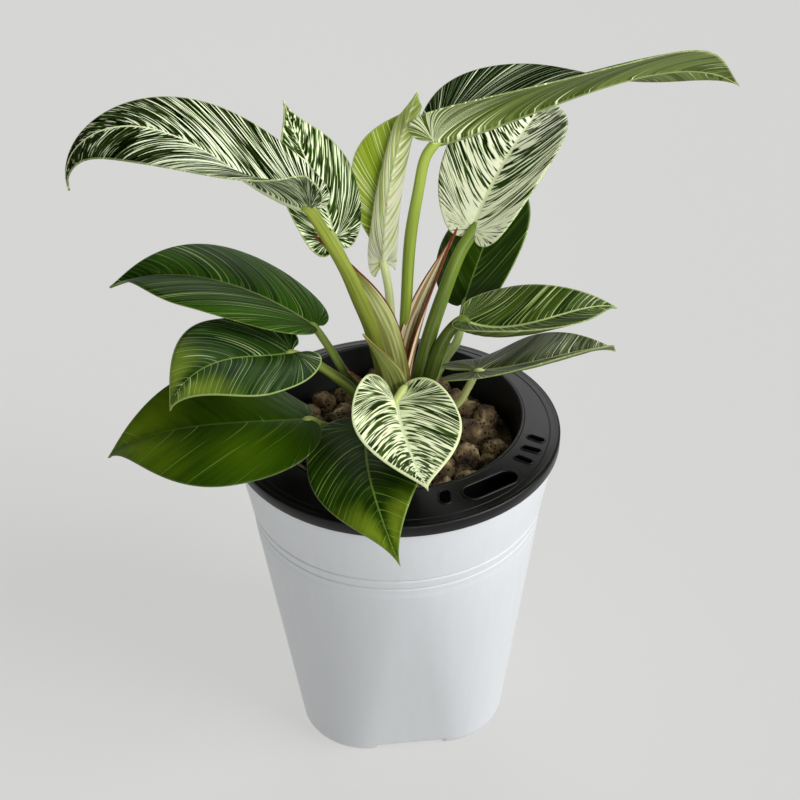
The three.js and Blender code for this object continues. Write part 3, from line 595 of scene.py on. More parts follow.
# %% Leaf measures
# heading and climb turn the midrib, roll turns the blade about it, all from base to tip in
# degrees; left and right give each half its fold at base and tip and its curl; route is the
# stalk's, with a radius at each place; lengths are in millimetres.
LEAVES = {
    "a": dict(
        junction=(-35.9, -27.9, 317.3), heading=(170, 193), climb=(11, 95, -101), roll=(8, -17),
        length=131, width=88, lobe=6.5, widest=0.25, left=(49, -26, -13), right=(1, -14, 20),
        route=[(-2, 8, 172, 5.4), (-5, 1, 214, 5.2), (-10, -3, 241, 4.9), (-16, -8, 261, 4.3),
               (-22, -14, 280, 3.4), (-29, -20, 298, 2.9)],
    ),
    "b": dict(
        junction=(-28.7, 12, 283.7), heading=(124, 150), climb=(76, 35, 81), roll=(7, -10),
        length=68, width=47, lobe=7.9, widest=0.38, left=(15, 11, -9), right=(7, 17, -25),
        route=[(-4, 13, 172, 2.8), (-8, 13, 212, 2.8), (-12, 13, 237, 2.8), (-21, 12, 263, 2.5)],
    ),
    "c": dict(
        junction=(-6, 60, 246), heading=(-66, -50), climb=(84, 71, 62), roll=(-12, -54),
        length=109, width=82, lobe=11, widest=0.38, left=(0, 8, 162), right=(5, 5, 150),
        roll_width=(0.6, 0.45), roll_taper=0.5, right_share=0.32, base=0.25,
        route=[(0, 17, 172, 3), (-1, 26, 200, 2.8), (-2, 37, 217, 2.6), (-3, 50, 233, 2.3)],
    ),
    "d": dict(
        junction=(19.6, 17.9, 329.1), heading=(-9, 33), climb=(17, 35, -36), roll=(-3, -45),
        length=160, width=101, lobe=8.8, widest=0.3, left=(23, -6, 13), right=(48, -5, -31),
        route=[(5, 8, 172, 3.4), (5, 12, 205, 3.2), (5, 13, 226, 3), (6, 14, 248, 2.9),
               (8, 16, 280, 3), (12, 16, 306, 2.7), (15, 17, 321, 2.6)],
    ),
    "e": dict(
        junction=(40, 42, 272.7), heading=(44, 69), climb=(63, 23, -2), roll=(-6, 0),
        length=99, width=69, lobe=7, widest=0.38, left=(4, 19, -5), right=(11, 20, 10),
        route=[(6, 13, 172, 5), (13, 17, 201, 4.8), (18, 23, 222, 3.9), (25, 30, 242, 3.6),
               (33, 37, 261, 3.3)],
    ),
    "f": dict(
        junction=(37.6, 62, 218.4), heading=(52, 79), climb=(64, 25, 20), roll=(-12, -18),
        length=92, width=62, lobe=3.3, widest=0.34, left=(6, 1, -16), right=(17, 12, 1),
        route=[(6, 16, 172, 3.2), (22, 31, 194, 3), (28, 39, 200, 2.7), (33, 45, 204, 2.4),
               (36, 53, 210, 2.1)],
    ),
    "g": dict(
        junction=(34.9, 22, 232.1), heading=(-21, 33), climb=(-20, 54, -32), roll=(12, 27),
        length=86, width=50, lobe=4, widest=0.25, left=(17, 25, -17), right=(6, 11, 68),
        route=[(7, 10, 172, 3.5), (17, 12, 200, 3.6), (22, 16, 216, 3.6), (28, 20, 226, 3.1)],
    ),
    "h": dict(
        junction=(40.6, -8, 220.1), heading=(-1, 52), climb=(5, 11, -37), roll=(-21, -6),
        length=89, width=54, lobe=18, widest=0.32, left=(14, 29, -22), right=(-7, 27, 23),
        route=[(7, 6, 170, 2.6), (20, 3, 184, 2.3), (32, 0, 195, 2.1), (37, -3, 207, 2)],
    ),
    "i": dict(
        junction=(0.3, -24, 212.4), heading=(-84, -73), climb=(-4, 2, 3), roll=(-8, -9),
        length=71, width=56, lobe=12.1, widest=0.36, left=(31, -8, 15), right=(46, 0, -17),
        route=[(3, 4, 172, 2.9), (6, -5, 192, 2.7), (6, -11, 209, 2.5), (4, -17, 215, 2.2)],
    ),
    "j": dict(
        junction=(-14.2, -28, 199.1), heading=(-93, -67), climb=(8, 5, -28), roll=(-3, 22),
        length=95, width=57, lobe=11.9, widest=0.31, left=(2, 12, -11), right=(5, -3, -15),
        route=[(-1, 5, 168, 2.7), (-6, -4, 182, 2.4), (-11, -16, 191, 2.3)],
    ),
    "k": dict(
        junction=(-42.4, -22, 201.8), heading=(197, 162), climb=(8, 3, -48), roll=(2, -29),
        length=112, width=75, lobe=4, widest=0.35, left=(3, 7, -25), right=(1, 23, -14),
        route=[(-5, 7, 168, 2.7), (-26, -6, 183, 2.4), (-36, -15, 192, 2.3)],
    ),
    "l": dict(
        junction=(-50.6, -5, 230.1), heading=(218, 220), climb=(8, 51, -74), roll=(3, -6),
        length=78, width=63, lobe=9, widest=0.4, left=(9, -7, -18), right=(30, -1, -16),
        route=[(-5, 9, 172, 3.3), (-16, 5, 192, 3.1), (-24, 3, 204, 2.9), (-33, 1, 214, 2.5),
               (-41, -2, 222, 2.3)],
    ),
    "m": dict(
        junction=(-39.6, 12, 234.5), heading=(157, 168), climb=(27, 9, -29), roll=(12, -4),
        length=121, width=71, lobe=3.9, widest=0.49, left=(15, 31, -42), right=(18, 35, -47),
        route=[(-5, 14, 170, 2.6), (-16, 13, 190, 2.4), (-25, 12, 205, 2.3), (-33, 12, 221, 2.1)],
    ),
}
SHEATHS = {
    "left": dict(junction=(0, 1, 186), heading=(-150, -155), climb=(78, 84, 50), length=122,
                 width=27, widest=0.45, right=(38, 30, 45)),
    "right": dict(junction=(4, 4, 188), heading=(30, 38), climb=(85, 72, 56), length=102,
                  width=17, widest=0.4, right=(35, 20, 40)),
    "front": dict(junction=(-2, -2, 188), heading=(-110, -158), climb=(86, 74, 60), length=60,
                  width=20, widest=0.5, right=(12, 20, 30)),
    "dry": dict(junction=(-8, 4, 184), heading=(-165, -148), climb=(70, 72, 48), length=38,
                width=9, widest=0.4, right=(30, 30, 20)),
}
for leaf in SHEATHS.values():
    leaf.update(roll=(0, 0), lobe=3, base=0, left=leaf["right"])

# %% [markdown]
# Bending carries each point of the flat leaf to its place. The midrib is a chain of short steps,
# each in its own direction, and each half turns away from it by its fold and its curl.

# %% Bending a flat leaf
MIDRIB_STEPS = 48


def ramp(ends, t):
    return ends[0] + (ends[1] - ends[0]) * t


def midrib_frame(leaf, t):
    """Directions along the midrib, out to the left half and out of the upper face."""
    heading = np.radians(ramp(leaf["heading"], t))
    p, q, r = leaf["climb"]
    climb = np.radians((1 - t) ** 2 * p + 2 * t * (1 - t) * q + t * t * r)
    roll = np.radians(ramp(leaf["roll"], t))[..., None]
    level = np.cos(climb)
    along = np.stack([level * np.cos(heading), level * np.sin(heading), np.sin(climb)], -1)
    flat = np.stack([-np.sin(heading), np.cos(heading), 0 * heading], -1)
    up = np.cross(along, flat)
    left = flat * np.cos(roll) + up * np.sin(roll)
    face = up * np.cos(roll) - flat * np.sin(roll)
    return along, left, face


def bent(leaf, x, y):
    """Places of points at x along the midrib and y out to the left of it."""
    steps = (np.arange(MIDRIB_STEPS) + 0.5) / MIDRIB_STEPS
    chain = np.cumsum(midrib_frame(leaf, steps)[0], 0) * leaf["length"] / MIDRIB_STEPS
    chain = np.vstack([np.zeros(3), chain]) + np.array(leaf["junction"])
    t = np.clip(x / leaf["length"], 0, 1)
    along, left, face = midrib_frame(leaf, t)
    place = t * MIDRIB_STEPS
    low = np.minimum(place.astype(int), MIDRIB_STEPS - 1)
    share = (place - low)[..., None]
    spine = chain[low] * (1 - share) + chain[low + 1] * share
    spine = spine + along * np.minimum(x, 0)[..., None]
    is_left = y > 0
    fold_base, fold_tip, curl = (
        np.where(is_left, l, r) for l, r in zip(leaf["left"], leaf["right"])
    )
    out = np.abs(y) * np.where(is_left, 1, leaf.get("right_share", 1))
    reach = np.where(is_left, *leaf.get("roll_width", (1, 1))) * leaf["width"] / 2
    reach = reach * (1 - leaf.get("roll_taper", 0) * t)
    curved = np.minimum(out, reach)
    fold = np.radians(fold_base + (fold_tip - fold_base) * t)
    bend = np.radians(curl) / reach
    end = fold + bend * curved
    lateral = (np.sin(end) - np.sin(fold)) / bend + (out - curved) * np.cos(end)
    rise = (np.cos(fold) - np.cos(end)) / bend + (out - curved) * np.sin(end)
    sign = np.where(is_left, 1, -1)
    return spine + left * (sign * lateral)[..., None] + face * rise[..., None]


def half_outline(leaf, rows):
    """Half of the flat heart shape: base edge, lobe, widest place, drawn-out tip."""
    length, side, lobe = leaf["length"], leaf["width"] / 2, leaf["lobe"]
    widest = leaf["widest"] * length
    rest = length - widest
    back = [(0, 0), (-2 * lobe, 0.2 * side), (-0.6 * lobe, side), (widest, side)]
    front = [(widest, side), (widest + 0.45 * rest, side)]
    front += [(length - 0.28 * rest, 0.1 * side), (length, 0)]
    curves = []
    for control, first in ((back, leaf.get("base", 1 / 7)), (front, 0)):
        t = np.linspace(first, 1, rows // 2 + 1)[:, None]
        p, q, r, s = np.array(control, float)
        curve = (1 - t) ** 3 * p + 3 * (1 - t) ** 2 * t * q + 3 * (1 - t) * t * t * r + t**3 * s
        curves.append(curve)
    return np.vstack([curves[0], curves[1][1:]])


# %% [markdown]
# The flat grid is bent in code. A geometry tree then makes the leaf's body from the bent sheet:
# it welds the halves at the midrib, presses the veins in, doubles the sheet by its thickness and
# gives the two faces their own finishes. The sheet carries these measures for it and for the
# shaders: `along` from base to tip, `rib` the distance from the midrib in half rib widths,
# `rim` the distance from the margin in millimetres, `vein` the count of veins, `relief` and
# `thick`.

# %% Leaf sheet
VEIN_PITCH = 9.0
UV_MM = 100.0
RIB_GROOVE, RIB_NARROWS = 0.3, 0.75
BLADE_THICK, THICKER_INSIDE, MIDRIB_THICK = 0.6, 0.25, 1.5
FLUTTER_MM = 17.0


def leaf_sheet(name, leaf, look, rows=96, columns=18, rib_width=1.2, wave=0.5, pleat=0.22):
    """The bent upper face of a leaf, with its measures as attributes."""
    outline = half_outline(leaf, rows)
    edge_x, edge_y = outline[:, :1], outline[:, 1:]
    steps = np.linalg.norm(np.diff(outline, axis=0), axis=1)
    travel = np.concatenate([[0], np.cumsum(steps)])[:, None]
    u = np.linspace(0, 1, columns + 1)
    start = np.maximum(0, edge_x - look["lean"] * edge_y)
    x = start + (edge_x - start) * u ** look["bend"]
    y = edge_y * u
    travel, out = travel + 0 * x, u + 0 * x
    t = np.clip(x / leaf["length"], 0, 1)
    rim = np.hypot(edge_x - x, edge_y - y)
    rib = y / (rib_width * (1 - RIB_NARROWS * t))
    vein = travel / VEIN_PITCH
    # the veins' relief fades out at the midrib, at the margin and where the blade is narrow
    fade = np.clip(u * 5, 0, 1) * np.clip((1 - u) * 4, 0, 1) * np.clip(edge_y / 12, 0, 1)
    veins = pleat * (np.abs(np.sin(math.pi * vein)) ** 0.5 - 0.8) * fade
    groove = RIB_GROOVE * np.exp(-(rib**2)) * (1 - t)
    midrib = MIDRIB_THICK * np.exp(-((rib / 1.1) ** 2)) * (1 - 0.8 * t)
    thick = BLADE_THICK + THICKER_INSIDE * (1 - u) + midrib
    row, column = np.meshgrid(np.arange(len(outline) - 1), np.arange(columns), indexing="ij")
    quad = (row * (columns + 1) + column)[..., None] + [0, columns + 1, columns + 2, 1]
    points, faces, uvs, measures = [], [], [], []
    for half, (side, order) in enumerate(((1, 1), (-1, -1))):
        flutter = wave * np.sin(travel / FLUTTER_MM + 2 * side) * u**3 * np.clip(edge_y / 14, 0, 1)
        relief = veins - groove + flutter
        measures.append([values.ravel() for values in (t, rib, rim, vein, relief, thick)])
        place = bent(leaf, x, np.where(side > 0, np.maximum(y, 1e-7), -y))
        faces.append(quad.reshape(-1, 4)[:, ::order] + half * x.size)
        points.append(place.reshape(-1, 3))
        uvs.append(np.stack([travel / UV_MM + 5 * half, out], -1).reshape(-1, 2))
    sheet = mesh_object(name, np.vstack(points), np.vstack(faces))
    corner = np.empty(len(sheet.data.loops), int)
    sheet.data.loops.foreach_get("vertex_index", corner)
    layer = sheet.data.uv_layers.new(name="veins")
    layer.data.foreach_set("uv", np.vstack(uvs)[corner].ravel())
    for label, values in zip(("along", "rib", "rim", "vein", "relief", "thick"), zip(*measures)):
        attribute = sheet.data.attributes.new(label, "FLOAT", "POINT")
        scale = MM if label in ("relief", "thick") else 1
        attribute.data.foreach_set("value", np.concatenate(values) * scale)
    return sheet


# %% [markdown]
# The leaf's tree lowers a copy of the sheet by its thickness, as an offset kept at each point
# before the copy is made. The copy's faces are turned over, and the open rim is welded shut.

# %% Leaf body tree
WELD = 0.02 * MM
leaf_tree, enter = new_tree("leaf_body_from_sheet", Upper="Material", Under="Material")
normal = put(leaf_tree, "GeometryNodeInputNormal")
read = {
    label: put(leaf_tree, "GeometryNodeInputNamedAttribute", {"Name": label}, data_type=kind)
    for label, kind in (
        ("relief", "FLOAT"), ("thick", "FLOAT"), ("drop", "FLOAT_VECTOR"), ("upper", "FLOAT")
    )
}
welded = put(leaf_tree, "GeometryNodeMergeByDistance", {"Geometry": enter, "Distance": WELD})
minus = put(leaf_tree, "ShaderNodeMath", {0: read["thick"], 1: -1.0}, operation="MULTIPLY")
rise, drop = (
    put(leaf_tree, "ShaderNodeVectorMath", {0: normal, "Scale": scale}, operation="SCALE")
    for scale in (read["relief"], minus)
)
pressed = put(leaf_tree, "GeometryNodeSetPosition", {"Geometry": welded, "Offset": rise})
kind = "GeometryNodeStoreNamedAttribute"
sheet = {"Geometry": pressed, "Name": "drop", "Value": drop}
sheet = put(leaf_tree, kind, sheet, data_type="FLOAT_VECTOR", domain="POINT")
copy = {"Mesh": sheet, "Offset Scale": 0.0, "Individual": False}
copy = put(leaf_tree, "GeometryNodeExtrudeMesh", copy)
under = {"Geometry": copy, "Selection": copy.outputs["Top"], "Offset": read["drop"]}
under = put(leaf_tree, "GeometryNodeSetPosition", under)
under = put(leaf_tree, "GeometryNodeFlipFaces", {"Mesh": under})
upper = {"Geometry": sheet, "Name": "upper", "Value": 1.0}
upper = put(leaf_tree, kind, upper, data_type="FLOAT", domain="FACE")
both = put(leaf_tree, "GeometryNodeJoinGeometry")
for face in (under, upper):
    set_inputs(leaf_tree, both, {0: face})
closed = put(leaf_tree, "GeometryNodeMergeByDistance", {"Geometry": both, "Distance": WELD})
done = {"Geometry": dressed(leaf_tree, closed, enter.outputs["Under"])}
done.update({"Selection": read["upper"], "Material": enter.outputs["Upper"]})
done = put(leaf_tree, "GeometryNodeSetMaterial", done)
put(leaf_tree, "NodeGroupOutput", {"Geometry": done})

# %% [markdown]
# ## Leaf skin
#
# The real thing is a living blade: a clear waxy skin over green flesh. The wax gives a soft
# satin sheen where the blade turns to the light, and the flesh under it keeps its full colour.
# Where the cells lack green, cream pinstripes run along the veins from midrib to margin, dense
# on some leaves and a few faint lines on others. Two noises, both read along the veins and
# stretched to their length, draw them. Where the first is above a level there is a band, wide
# or narrow as the level says. Where the second crosses its middle value there is a line of one
# even width. A third kind of line, the pins, comes at an even pitch with the veins. A third
# noise, the clouds, fades the lines in and out and breaks up the yellowed patches.

# %% Leaf material
# tones of flesh and stripes and the veins' lean, then the bands, the lines, the pins and the
# side veins, the midrib and the rim, and last the wax, the light coming through and the patches
LEAF = dict(
    deep="#16280a", green="#2b4212", pale="#93a86c", cream="#e2ebc8", lean=1.2, bend=1.35,
    band_mm=1.5, run=1.2, level=(0.56, 0.6), turn=(0.0, 1.0), edge=0.03, core=0.0,
    line_mm=2.6, line_run=0.4, line_width=0.03, lines=0.4, line_level=0.45,
    pin_mm=2.4, pin_width=0.25, pins=0.0, vein=0.1, vein_width=0.14, vein_tone="#a7b97c",
    rib=0.95, rib_reach=1.6, rib_tone="#dfe8bb", rim=0.5, rim_mm=0.9, rim_tone="#b9c78c",
    rough=0.36, gloss=0.14, glow=0.12, patches=(),
)
BAND_SHIFT, LINE_SHIFT = 7.3, 5.1
CLOUD_SCALE, CLOUD_FADE = (22, 1.6, 1), 0.08
PIN_DRIFT = 4.0
PATCH_STRETCH, PATCH_RAGGED, PATCH_FULL = 0.35, -0.15, -0.15
SMOOTH = dict(interpolation_type="SMOOTHSTEP")


def folded_sine(tree, phase):
    """A wave that touches nought at every half turn of its phase."""
    for operation in ("SINE", "ABSOLUTE"):
        phase = put(tree, "ShaderNodeMath", {0: phase}, operation=operation)
    return phase


def leaf_material(name, look, seed):
    """Waxy leaf skin: pinstripes along the veins, a pale midrib and a thin pale rim."""
    material, tree, shader = new_material(name)
    read = {
        label: put(tree, "ShaderNodeAttribute", attribute_name=label).outputs["Fac"]
        for label in ("along", "rib", "rim", "vein")
    }
    veins = put(tree, "ShaderNodeUVMap", uv_map="veins")
    out = put(tree, "ShaderNodeSeparateXYZ", {0: veins}).outputs["Y"]
    band_scale = (UV_MM / look["band_mm"], look["run"], 1)
    bands = stretched_noise(tree, veins, band_scale, 1.0, 0.4, seed * BAND_SHIFT)
    line_scale = (UV_MM / look["line_mm"], look["line_run"], 1)
    fine = stretched_noise(tree, veins, line_scale, 1.0, 0.5, seed * LINE_SHIFT)
    clouds = stretched_noise(tree, veins, CLOUD_SCALE, 2.0, 0.5, seed)
    # bands: the first noise above a level that changes from base to tip
    keys = ("From Min", "From Max", "To Min", "To Max")
    level = {"Value": read["along"], **dict(zip(keys, (*look["turn"], *look["level"])))}
    level = put(tree, "ShaderNodeMapRange", level, **SMOOTH)
    core = {"Value": out, "From Max": 0.5, "To Min": look["core"], "To Max": 0.0}
    core = put(tree, "ShaderNodeMapRange", core)
    above = put(tree, "ShaderNodeMath", {0: bands, 1: core}, operation="ADD")
    above = put(tree, "ShaderNodeMath", {0: above, 1: level}, operation="SUBTRACT")
    band_edge = {"Value": above, "From Min": -look["edge"], "From Max": look["edge"]}
    stripe = put(tree, "ShaderNodeMapRange", band_edge, **SMOOTH)
    # lines: the second noise near its middle value, faded in and out by the clouds
    off = put(tree, "ShaderNodeMath", {0: fine, 1: 0.5}, operation="SUBTRACT")
    off = put(tree, "ShaderNodeMath", {0: off}, operation="ABSOLUTE")
    width, middle = look["line_width"], look["line_level"]
    line = {"Value": off, "From Min": width, "From Max": 0.2 * width, "To Max": look["lines"]}
    shown = {"Value": clouds, "From Min": middle - CLOUD_FADE, "From Max": middle + CLOUD_FADE}
    # pins: a thin line at an even pitch along every vein, in and out with the bands' noise
    drift = put(tree, "ShaderNodeMath", {0: fine, 1: PIN_DRIFT}, operation="MULTIPLY")
    phase = {0: read["vein"], 1: math.pi * VEIN_PITCH / look["pin_mm"], 2: drift}
    wave = folded_sine(tree, put(tree, "ShaderNodeMath", phase, operation="MULTIPLY_ADD"))
    width = look["pin_width"]
    pin = {"Value": wave, "From Min": width, "From Max": 0.3 * width, "To Max": look["pins"]}
    seen = {"Value": bands, "From Min": 0.36, "From Max": 0.6}
    for mark, fading in ((line, shown), (pin, seen)):
        mark = put(tree, "ShaderNodeMapRange", mark, **SMOOTH)
        fading = put(tree, "ShaderNodeMapRange", fading)
        mark = put(tree, "ShaderNodeMath", {0: mark, 1: fading}, operation="MULTIPLY")
        stripe = put(tree, "ShaderNodeMath", {0: stripe, 1: mark}, operation="MAXIMUM")
    # flesh tones: two greens under the lines, two creams in the stripes
    blend = {"Factor": stripe}
    for socket, value, start, full, low, high in (
        ("A", fine, 0.4, 0.62, "deep", "green"),
        ("B", above, -0.02, 0.1, "pale", "cream"),
    ):
        share = {"Value": value, "From Min": start, "From Max": full}
        share = put(tree, "ShaderNodeMapRange", share)
        tones = {"Factor": share, "A": colour(look[low]), "B": colour(look[high])}
        blend[socket] = put(tree, "ShaderNodeMix", tones, data_type="RGBA")
    blend = put(tree, "ShaderNodeMix", blend, data_type="RGBA")
    # yellowed patches, each a soft round place on the leaf broken up by the clouds
    for at, across, size, tone, strength in look["patches"]:
        spot = {"Vector": put(tree, "ShaderNodeCombineXYZ", {"X": read["along"], "Y": out})}
        spot["Location"] = (-at, -PATCH_STRETCH * across, 0)
        spot["Scale"] = (1, PATCH_STRETCH, 1)
        spot = put(tree, "ShaderNodeMapping", spot)
        spot = put(tree, "ShaderNodeVectorMath", {0: spot}, operation="LENGTH")
        spot = {0: clouds, 1: PATCH_RAGGED, 2: spot}
        spot = put(tree, "ShaderNodeMath", spot, operation="MULTIPLY_ADD")
        blend = laid_over(tree, blend, tone, spot, size - 0.07, PATCH_FULL, strength)
    # side veins, rim and midrib
    turn = put(tree, "ShaderNodeMath", {0: read["vein"], 1: math.pi}, operation="MULTIPLY")
    for label, value, reach in (
        ("vein", folded_sine(tree, turn), look["vein_width"]),
        ("rim", read["rim"], look["rim_mm"]),
        ("rib", read["rib"], look["rib_reach"]),
    ):
        tone = look[f"{label}_tone"]
        blend = laid_over(tree, blend, tone, value, reach, 0.5 * reach, look[label])
    # the wax: a satin sheen, broken by cells and fibres, which are drawn larger than life to show
    place = put(tree, "ShaderNodeTexCoord").outputs["Object"]
    cells = put(tree, "ShaderNodeTexNoise", {"Vector": place, "Scale": per_mm(1.4), "Detail": 2.0})
    fibre = put(tree, "ShaderNodeMath", {0: fine, 1: cells}, operation="ADD")
    bump = {"Height": fibre, "Distance": 0.12 * MM, "Strength": 0.5}
    rough = {"Value": cells, "To Min": look["rough"], "To Max": look["rough"] + 0.1}
    looks = {
        "Base Color": blend,
        "Normal": put(tree, "ShaderNodeBump", bump),
        "Roughness": put(tree, "ShaderNodeMapRange", rough),
        "IOR": 1.45,
        "Specular IOR Level": look["gloss"],
        # the blade is under a millimetre thick: the eye sees yellow-green light come through it
        "Subsurface Weight": look["glow"],
        "Subsurface Radius": (0.7, 1.0, 0.15),
        "Subsurface Scale": 1.2 * MM,
    }
    set_inputs(tree, shader, looks)
    return material


# %% [markdown]
# The looks differ from leaf to leaf. The striped ones are half cream, the green ones show only
# thin lines. The underside is duller and greyer than the upper face, with the same stripes,
# because a stripe goes through the whole blade.

# %% Looks of the leaves
DARK = dict(
    LEAF, deep="#162e00", green="#264202", pale="#56762a", cream="#86a454", band_mm=1.1, run=0.5,
    edge=0.025, level=(0.7, 0.7), lines=0.3, line_mm=3.4, line_run=0.3, line_width=0.014,
    line_level=0.5, pins=0.6, pin_mm=3.6, pin_width=0.17, rib_tone="#7f9a44", rib_reach=0.8,
    rib=0.65, rim=0.3, rim_tone="#9ab068", vein_tone="#7f9c48", gloss=0.05,
)
LOOKS = {
    "a": dict(
        LEAF, deep="#070f01", green="#1a2a08", level=(0.525, 0.66), turn=(0.35, 0.9), core=0.04,
        cream="#eef6d6", edge=0.012, lines=0.1, pins=0.6, pin_mm=2.0, band_mm=0.8, run=2.6,
        rib_reach=1.5, rough=0.4, gloss=0.0,
        under=dict(
            deep="#1c290e", green="#33431e", pale="#93a174", cream="#cfd9b6", level=(0.56, 0.62),
            lines=0.6,
        ),
    ),
    "b": dict(
        LEAF, deep="#122002", green="#283c0e", cream="#dce8c0", pale="#8c9f66", level=(0.55, 0.575),
        core=0.01, turn=(0.3, 1.0), rib_reach=0.9, rib=0.5, lines=0.2, pins=0.9, pin_mm=1.9,
        pin_width=0.4, band_mm=0.8, run=2.6, lean=1.6, bend=1.3, edge=0.015, gloss=0.0,
    ),
    # c: the rolled leaf's own pale yellow-green, painted lighter still on both faces to stand for
    # the light that shines through it from behind
    "c": dict(
        LEAF, lean=2.0, bend=1.2, deep="#8fa51e", green="#a6b93a", pale="#d2df8c", cream="#f2f8c4",
        level=(0.63, 0.63), rib_tone="#f4f9d0", band_mm=1.0, run=0.5, lines=0.0, pins=0.8,
        pin_mm=3.0, glow=0.5,
        under=dict(
            deep="#a2b352", green="#bfce74", pale="#e2ecac", cream="#fbffdc", rib=0.3,
            rib_tone="#f6fad2", band_mm=1.6, run=1.0, level=(0.4, 0.6), turn=(0.1, 0.95), edge=0.1,
            pins=0.4,
        ),
    ),
    "d": dict(
        LEAF, deep="#0a1a00", green="#162a04", pale="#c8d6ae", level=(0.66, 0.66), lines=0.2,
        core=0.03, pins=0.9, pin_mm=2.8, pin_width=0.24, band_mm=1.05, run=0.6, lean=1.5, gloss=0.0,
        rib=0.6, rib_reach=1.0, rim=0.3,
        under=dict(
            deep="#404f12", green="#6c7e38", pale="#a8b874", cream="#f0f8cc", rib=0.7,
            rib_tone="#b4c27c", level=(0.5, 0.7), turn=(0.0, 0.35), lines=0.2, pins=0.5,
        ),
    ),
    "e": dict(
        LEAF, level=(0.38, 0.5), turn=(0.0, 0.35), deep="#122206", green="#34491a", pale="#c4d49c",
        cream="#fcffe2", core=0.03, lines=0.2, band_mm=0.95, run=2.8, lean=0.9, edge=0.02,
        gloss=0.04,
    ),
    "f": dict(
        DARK, deep="#1d3600", green="#2a4406", pins=0.25,
    ),
    "g": dict(
        LEAF, deep="#192c04", green="#344a0c", pale="#adbe76", cream="#c6d490", level=(0.7, 0.7),
        lines=0.1, pins=0.95, pin_mm=2.3, pin_width=0.28, rib_tone="#a9b974", rib_reach=0.9,
        band_mm=0.8, run=0.55, lean=1.5, rim_tone="#a4b274",
    ),
    "h": dict(
        LEAF, deep="#2a3414", green="#566038", pale="#bec89e", cream="#d4deb4", level=(0.67, 0.67),
        lines=0.1, pins=0.75, pin_mm=2.6, rib_tone="#a3af76", rib_reach=0.9, rib=0.7, band_mm=0.8,
        run=0.5, lean=1.5, rim_tone="#98a46e",
    ),
    "i": dict(
        LEAF, level=(0.515, 0.515), deep="#142502", green="#344a10", pale="#a3b872",
        cream="#f4fcd4", run=2.6, core=0.1, rim_mm=1.8, rim=0.9, rim_tone="#e4efb9", rib_reach=1.4,
        band_mm=0.8, lean=1.1, bend=1.4,
    ),
    "j": dict(
        DARK, pale="#7e9c46", pins=0.8, vein=0.04, lean=1.1, bend=1.4,
        patches=((0.8, 0.75, 0.26, "#9cb82e", 0.7), (0.98, 0.0, 0.22, "#8cac28", 0.6)),
    ),
    "k": dict(
        DARK, deep="#223c00", green="#2b4600", lines=0.03, pins=0.05, vein=0.03, rib=0.22, rim=0.2,
        gloss=0.1, patches=((0.78, 0.6, 0.36, "#7c9a0e", 0.65), (0.3, 0.6, 0.24, "#56740a", 0.5)),
    ),
    "l": dict(
        DARK, vein=0.04, deep="#142c0a", green="#26420e", pale="#9ab07a", cream="#b4c48c", pins=0.9,
        pin_mm=2.6, pin_width=0.22, level=(0.69, 0.69), rim=0.8, rim_mm=1.0, lean=1.1, bend=1.4,
        patches=((0.8, 0.8, 0.28, "#9cb43c", 0.6),),
    ),
    "m": dict(
        DARK, deep="#183600", green="#305608", pale="#88a450", cream="#a2b870", pins=0.85,
        pin_mm=2.6, pin_width=0.22, level=(0.69, 0.69), rib_tone="#8ea25c", rim=0.2, vein=0.0,
        lean=1.5,
    ),
}
UNDER = dict(
    deep="#4d5c28", green="#66763a", pale="#a3b07a", cream="#c9d3a6", rough=0.5, gloss=0.12
)

# %% [markdown]
# Each blade is one sheet, run through the leaf's tree with its own pair of skins. The rolled
# leaf curls the most and takes more columns.

# %% Blades
SLOTS = {part["node"]: part["material_slot"] for part in frame["record"]["subparts"]}
for number, (letter, leaf) in enumerate(LEAVES.items()):
    look = LOOKS[letter]
    below = {**look, **UNDER, **look.get("under", {})}
    upper_skin = leaf_material(f"leaf_skin_{letter}_waxy", look, number + 1)
    under_skin = leaf_material(f"leaf_underside_{letter}", below, number + 1)
    columns = 26 if letter == "c" else 18
    sheet = leaf_sheet(f"blade_{letter}_skinned", leaf, look, columns=columns)
    blade = with_tree(sheet, leaf_tree, Upper=upper_skin, Under=under_skin)
    finish_piece(blade, SLOTS[f"blade_{letter}"], f"blade_{letter}")

# %% [markdown]
# ## Stem and petioles
#
# A petiole is a round green stalk, thicker where it clasps the stem, and it goes over into the
# midrib. It follows a path, so the sweeping tree makes it. The path is a smooth curve through a
# few points, and the section's radius shrinks on the way. Its skin is smooth living tissue with
# fibres under it, which show as long faint streaks and a soft line of light.

# %% Petiole finish


def stalk_material(name, low, high, streak_tone, roughness=0.42):
    """Green stalk skin: one tone at the foot, another at the blade, with fine long streaks."""
    material, tree, shader = new_material(name)
    along, around = (
        put(tree, "ShaderNodeAttribute", attribute_name=label).outputs["Fac"]
        for label in ("along", "around")
    )
    tint = {"Factor": along, "A": colour(low), "B": colour(high)}
    tint = put(tree, "ShaderNodeMix", tint, data_type="RGBA")
    # fibres: 14 streaks round the stalk, each less than half as long as it
    unrolled = put(tree, "ShaderNodeCombineXYZ", {"X": around, "Y": along})
    fibres = stretched_noise(tree, unrolled, (14, 2.5, 1), 3.0)
    bump = {"Height": fibres, "Distance": 0.2 * MM, "Strength": 0.4}
    looks = {
        "Base Color": laid_over(tree, tint, streak_tone, fibres, 0.45, 0.7, 0.6, "LINEAR"),
        "Normal": put(tree, "ShaderNodeBump", bump),
        "Roughness": roughness,
        "IOR": 1.45,
        "Specular IOR Level": 0.3,
    }
    set_inputs(tree, shader, looks)
    return material


